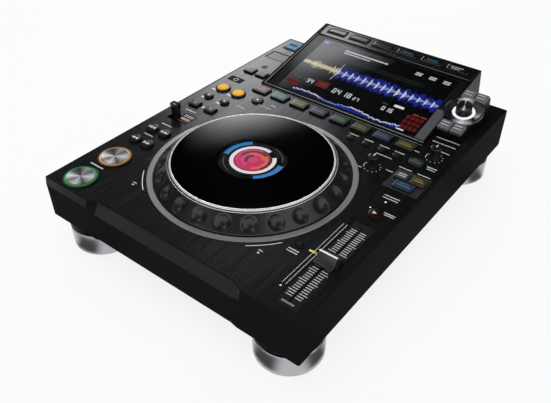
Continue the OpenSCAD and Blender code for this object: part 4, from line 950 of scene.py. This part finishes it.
# A scale round each small knob, the inset round the sync keys, two lamps and the corner marks
for at in ((95, -2.5), (140, 52.5)):
    arc(at, 9.0, 9.5, 105, 215, on_panel, INK)
    for k in range(8):
        a = math.radians(-120 + k * 30)
        out = Vector((math.cos(a), math.sin(a)))
        sideways = Vector((-out.y, out.x)) * 0.28
        corners = [Vector(at) + out * r + sideways * side
            for r, side in ((8.4, -1), (10, -1), (10, 1), (8.4, 1))]
        bm.faces.new([bm.verts.new((*corner, on_panel)) for corner in corners])
bar(119, -23.5, 158.5, 13, on_panel - 0.02, INSET)
dot((137, -46), 1.1, on_panel, LIT_WHITE)
dot((129, -62), 0.9, on_panel, LIT_WHITE)
for start, x, side in ((-143, -83, -1), (-54, 83, 1)):
    arc(wheel_axis, 114.4, 115.2, start, start + 17, on_panel, INK)
    triangle(x, -178.6, 2.6, side, on_panel, INK)
add_piece("panel_printing", "case", print_inks)

# The fader's well is lacquered black, with a tick each 3 mm on both sides of its slot
well = 84.93
slot_x = 139.5
bar(128.2, -214.2, 150.8, -87, well, WELL)
for side in (-1, 1):
    for near, far in ((3.2, 3.7), (6.6, 7.1)):
        x0, x1 = sorted((slot_x + side * near, slot_x + side * far))
        bar(x0, -202, x1, -99, well + 0.03, RECESS)
    for k in range(-17, 18):
        y = -150.6 + k * 3
        x0, x1 = sorted((slot_x + side * 1.7, slot_x + side * (8.1 if k % 5 else 9.9)))
        bar(x0, y - 0.32, x1, y + 0.32, well + 0.04, INK)
bar(138.7, -209, 140.3, -92, well + 0.05, BLACK)
words(well + 0.06, GREY_INK, ((slot_x, -209.6, 13, 2.0),))
add_piece("fader_well_printing", "case", print_inks)
bars(on_panel, INK, ((121.6, -194, 122, -98), (125.4, -194, 125.8, -98)))
bars(on_panel + 0.02, LIT_AMBER, ((122.5, -148.6, 123.3, -146.4), (124.1, -148.6, 124.9, -146.4)))
bar(117, -148.7, 123, -146.5, on_panel, LIT_AMBER)
dot((123, -198), 1.0, on_panel, INK)
words(on_panel, INK, ((106, -156.2, 12, 1.3), (106, -159.4, 12, 1.3)))
add_piece("fader_side_printing", "case", print_inks)

# Painted highlight lines along the hood's front lip and left edge, and a brushed strip on the right bezel
painted_highlight_trim = new_material("painted_edge_highlight", "#9c9ea1", 0.45, (0.5, 0.003), 0.05)
trim_brushed = new_material("brushed_bezel_strip", "#505255", 0.4, (0.5, 0.008), 0.05, (1, 0.05, 1),
    metallic=0.2)
bar(-111, 65.9, 118, 66.5, 85.46)
add_piece("hood_lip_line", "case", [painted_highlight_trim])
bars(0.04, 0, ((-109.6, 2.2, 117.6, 2.8), (-109.6, 2.8, -109.0, 122)))
bar(105, 5, 116.4, 60, 0.02, 1)
add_piece("hood_trim_lines", "case", [painted_highlight_trim, trim_brushed], matrix=slope_frame)

# ---------- Painted light on faces along the front ---
# The sloping face of the scoop, and the narrow bevel at its left, take a lighter black than the
# walls: painted light where they tilt up to the lamps. They are drawn 0.1 mm proud of the grained walls.

painted_light_abs = new_material("painted_light_black_abs", "#2c2c2e", 0.42, (1.5, 0.004), 0.03, specular=0.03)
# Each face: its name, its two ends, its width up the slope, and the height and slope of its foot
for name, x0, x1, width, foot_z, rise, run in (
        ("scoop_face", -88.3, 88.3, 14.3, 72.9, 12.5, 7.5),
        ("bevel_face_left", -163.9, -100.3, 9.5, 75.9, 9.5, 2.4)):
    at = ((x0 + x1) / 2, (width + 0.6) / 2)
    loft([outline(x1 - x0 - inset, width - 0.6 - inset, 0.2, at, z, 1)
        for inset, z in ((0, -0.1), (0, 0.05), (0.1, 0.1))])
    slope = Matrix.Rotation(math.atan2(rise, run), 4, "X")
    add_piece(name, "case", [painted_light_abs],
        matrix=Matrix.Translation((0, -226.5, foot_z)) @ slope)

# The scoop's right end turns in two small facets, which carry the same painted light.
for corners in (((88.6, -226.5, 72.9), (88.6, -219, 85.4), (100, -226.5, 75.9)),
                ((88.6, -219, 85.4), (100, -224.1, 85.4), (100, -226.5, 75.9))):
    corners = [Vector(c) for c in corners]
    centre = sum(corners, Vector()) / 3
    out = (corners[1] - corners[0]).cross(corners[2] - corners[0]).normalized()
    out *= -math.copysign(1, out.y)
    loft([[c.lerp(centre, 0.06) + out * lift for c in corners] for lift in (-0.1, 0.1)])
add_piece("scoop_end_right", "case", [painted_light_abs])

# ---------- Studio ----------
# A white floor in an even pale room, with two soft lamps: one low behind the left side and one
# above. Gloss sees neither lamp. It mirrors black cloths, three dim lit cloths and dark wedges of painted
# shade.

scene = bpy.context.scene
scene.view_settings.view_transform = "Standard"


def seen_directly(owner):
    """Is 1 for rays from the lens, from gloss and through glass, and 0 for the light on matt faces."""
    rays = add_node(owner, "LightPath")
    either = add_node(owner, "Math", {"operation": "MAXIMUM", 0: rays.outputs["Is Camera Ray"],
        1: rays.outputs["Is Glossy Ray"]})
    return add_node(owner, "Math", {"operation": "MAXIMUM", 0: either,
        1: rays.outputs["Is Transmission Ray"]})


# The room is white to look at, and dimmer as a light.
world = bpy.data.worlds.new("pale_room")
scene.world = world
world.use_nodes = True
world.node_tree.nodes.clear()
dim = add_node(world, "Background", {"Strength": 0.5})
bright = add_node(world, "Background", {"Strength": 1, "Color": (1, 1, 1, 1)})
mixed = add_node(world, "MixShader", {0: seen_directly(world), 1: dim, 2: bright})
add_node(world, "OutputWorld", {0: mixed})


def add_card(name, material, rows, hidden=True):
    """A sheet of the stage through rows of (point, glow); a hidden one is seen by gloss only."""
    sheet = bmesh.new()
    layer = sheet.verts.layers.float.new("glow")
    grid = []
    for row in rows:
        grid.append([sheet.verts.new(point) for point, glow in row])
        for vert, (point, glow) in zip(grid[-1], row):
            vert[layer] = glow
    for row, after in zip(grid, grid[1:]):
        for j in range(len(row) - 1):
            sheet.faces.new((row[j], row[j + 1], after[j + 1], after[j]))
    mesh = bpy.data.meshes.new(name)
    sheet.to_mesh(mesh)
    sheet.free()
    mesh.materials.append(material)
    card = bpy.data.objects.new(name, mesh)
    scene.collection.objects.link(card)
    card.visible_camera = not hidden
    card.visible_diffuse = not hidden
    card.visible_shadow = not hidden


# The floor glows a little to all that looks at it, so that it stays white beside the object.
floor_glow = 0.84
floor_white = new_material("matt_white_sweep", "#f2f2f2", 0.9)
share = add_node(floor_white, "Math", {"operation": "MULTIPLY", 1: floor_glow,
    0: seen_directly(floor_white)})
glowing = add_node(floor_white, "Emission", {"Strength": 1.0})
matt = floor_white.node_tree.nodes["Principled BSDF"]
mixed = add_node(floor_white, "MixShader", {0: share, 1: matt, 2: glowing})
floor_white.node_tree.links.new(mixed.outputs[0],
    floor_white.node_tree.nodes["Material Output"].inputs[0])
add_card("floor", floor_white, [[((x, y, 0), 0) for x in (-12, 12)] for y in (-12, 12)], hidden=False)

# The lamps: name, place, aim, width and depth in metres, and watts
for name, place, aim, width, depth, watts in (
        ("rear_left_softbox", (-1.1, 1.5, 0.93), (0, -0.08, 0.1), 1.5, 0.75, 9),
        ("overhead_softbox", (0, -0.4, 2.2), (0, 0, 0), 1.8, 1.8, 30)):
    data = bpy.data.lights.new(name, "AREA")
    data.shape = "RECTANGLE"
    data.size = width
    data.size_y = depth
    data.energy = watts
    light = bpy.data.objects.new(name, data)
    light.location = place
    light.rotation_euler = (Vector(aim) - Vector(place)).to_track_quat("-Z", "Y").to_euler()
    light.visible_glossy = False
    light.visible_camera = False
    scene.collection.objects.link(light)


def hang_cloth(name, material, turns, rises, distance, glow=lambda turned, up: 0, steps=24):
    """A patch of a dome round the object, between angles from the rear and up from the floor."""
    rows = []
    for k in range(steps + 1):
        up = rises[0] + (rises[1] - rises[0]) * k / steps
        high = math.radians(up)
        row = []
        for j in range(steps + 1):
            turned = turns[0] + (turns[1] - turns[0]) * j / steps
            a = math.radians(turned)
            point = (math.sin(a) * math.cos(high) * distance, math.cos(a) * math.cos(high) * distance,
                0.1 + math.sin(high) * distance)
            row.append((point, glow(turned, up)))
        rows.append(row)
    add_card(name, material, rows)


def fade(value, none, full):
    """Rises smoothly from 0 at none to 1 at full."""
    t = max(0, min(1, (value - none) / (full - none)))
    return t * t * (3 - 2 * t)


# Black cloths shut off the room beside and above the lamps.
black_cloth = new_material("black_velvet_cloth", "#050505", 1, (5, 0.1), specular=0)
for name, turns, rises in (
        ("cloth_rear", (-75, -8), (-0.7, 82)), ("cloth_left", (-150, -75), (-0.7, 40)),
        ("cloth_right", (-8, 72), (-0.7, 38)), ("cloth_upper_right", (-8, 40), (38, 68)),
        ("cloth_top", (-180, 180), (68, 89.9)), ("cloth_front", (125, 235), (42, 68))):
    hang_cloth(name, black_cloth, turns, rises, 9)

# Three lit cloths hang before them: a low one that fades out upwards, a small one above it and
# a dim one at the left.
lit_cloth = new_material("lit_white_cloth", "#050505", 1, specular=0)
cloth_glow = add_node(lit_cloth, "Attribute", {"attribute_name": "glow"})
lit_cloth.node_tree.links.new(cloth_glow.outputs["Fac"],
    lit_cloth.node_tree.nodes["Principled BSDF"].inputs["Emission Strength"])


def low_glow(turned, up):
    """Fades out at the sides and the foot, and upwards to a slanting edge."""
    edge = up + (turned + 42) * 0.14
    upwards = 0.91 * fade(edge, 33.2, 29) + 0.09 * fade(edge, 33.4, 32.9)
    return 6.2 * fade(turned, -50, -42.3) * fade(turned, -33, -40) * fade(up, 3, 12) * upwards


hang_cloth("lit_cloth_low", lit_cloth, (-56, -30), (3, 35.5), 8.6, low_glow, 96)
hang_cloth("lit_cloth_high", lit_cloth, (-50, -30), (40, 47), 8.6,
    lambda a, up: 2.1 * fade(a, -50, -45) * fade(a, -35.5, -42.5) * fade(up, 41, 42.2) * fade(up, 46, 44))
hang_cloth("lit_cloth_left", lit_cloth, (-78, -51), (24, 46), 8.6,
    lambda a, up: 0.13 * fade(a, -78, -70) * fade(a, -51, -57) * fade(up, 24, 29) * fade(up, 46, 41))

# Two dark wedges of painted shade lie on the floor by each foot that shows, on either side of the
# direction to the camera and seen by gloss only, so that the feet mirror dark bands; their edges fade to
# the floor's white.
for k, foot in enumerate(((0.1285, -0.1923), (-0.1285, -0.1923), (0.1285, 0.1633))):
    facing = math.degrees(math.atan2(-0.4925 - foot[1], 0.3517 - foot[0]))
    for side, start, end in (("left", facing - 92, facing - 14), ("right", facing + 26, facing + 94)):
        rows = []
        for i in range(33):
            turned = start + (end - start) * i / 32
            a = math.radians(turned)
            sides = fade(turned, start, start + 22) * fade(turned, end, end - 22)
            row = []
            for j in range(9):
                out = 0.036 + 0.013 * j
                point = (foot[0] + math.cos(a) * out, foot[1] + math.sin(a) * out, 0.0006)
                row.append((point, floor_glow - 0.74 * sides * fade(j, 8, 4)))
            rows.append(row)
        add_card(f"floor_wedge_{k}_{side}", lit_cloth, rows)

# ---------- Camera ----------
# It stands in front of the right corner and looks down at the wheel, through a slightly long
# lens whose picture is shifted a little to the side.

camera_data = bpy.data.cameras.new("camera")
camera_data.lens = 41.282
camera_data.sensor_width = 36
camera_data.shift_x = -0.02554
camera_data.shift_y = -0.0009
camera = bpy.data.objects.new("camera", camera_data)
scene.collection.objects.link(camera)
to_the_right = Matrix.Rotation(math.radians(36.747), 4, "Z")
looking_down = Matrix.Rotation(math.radians(90 - 38.955), 4, "X")
roll = Matrix.Rotation(math.radians(0.536), 4, "Z")
stand = Matrix.Translation((0.351718, -0.492541, 0.478975))
camera.matrix_world = stand @ to_the_right @ looking_down @ roll
scene.camera = camera
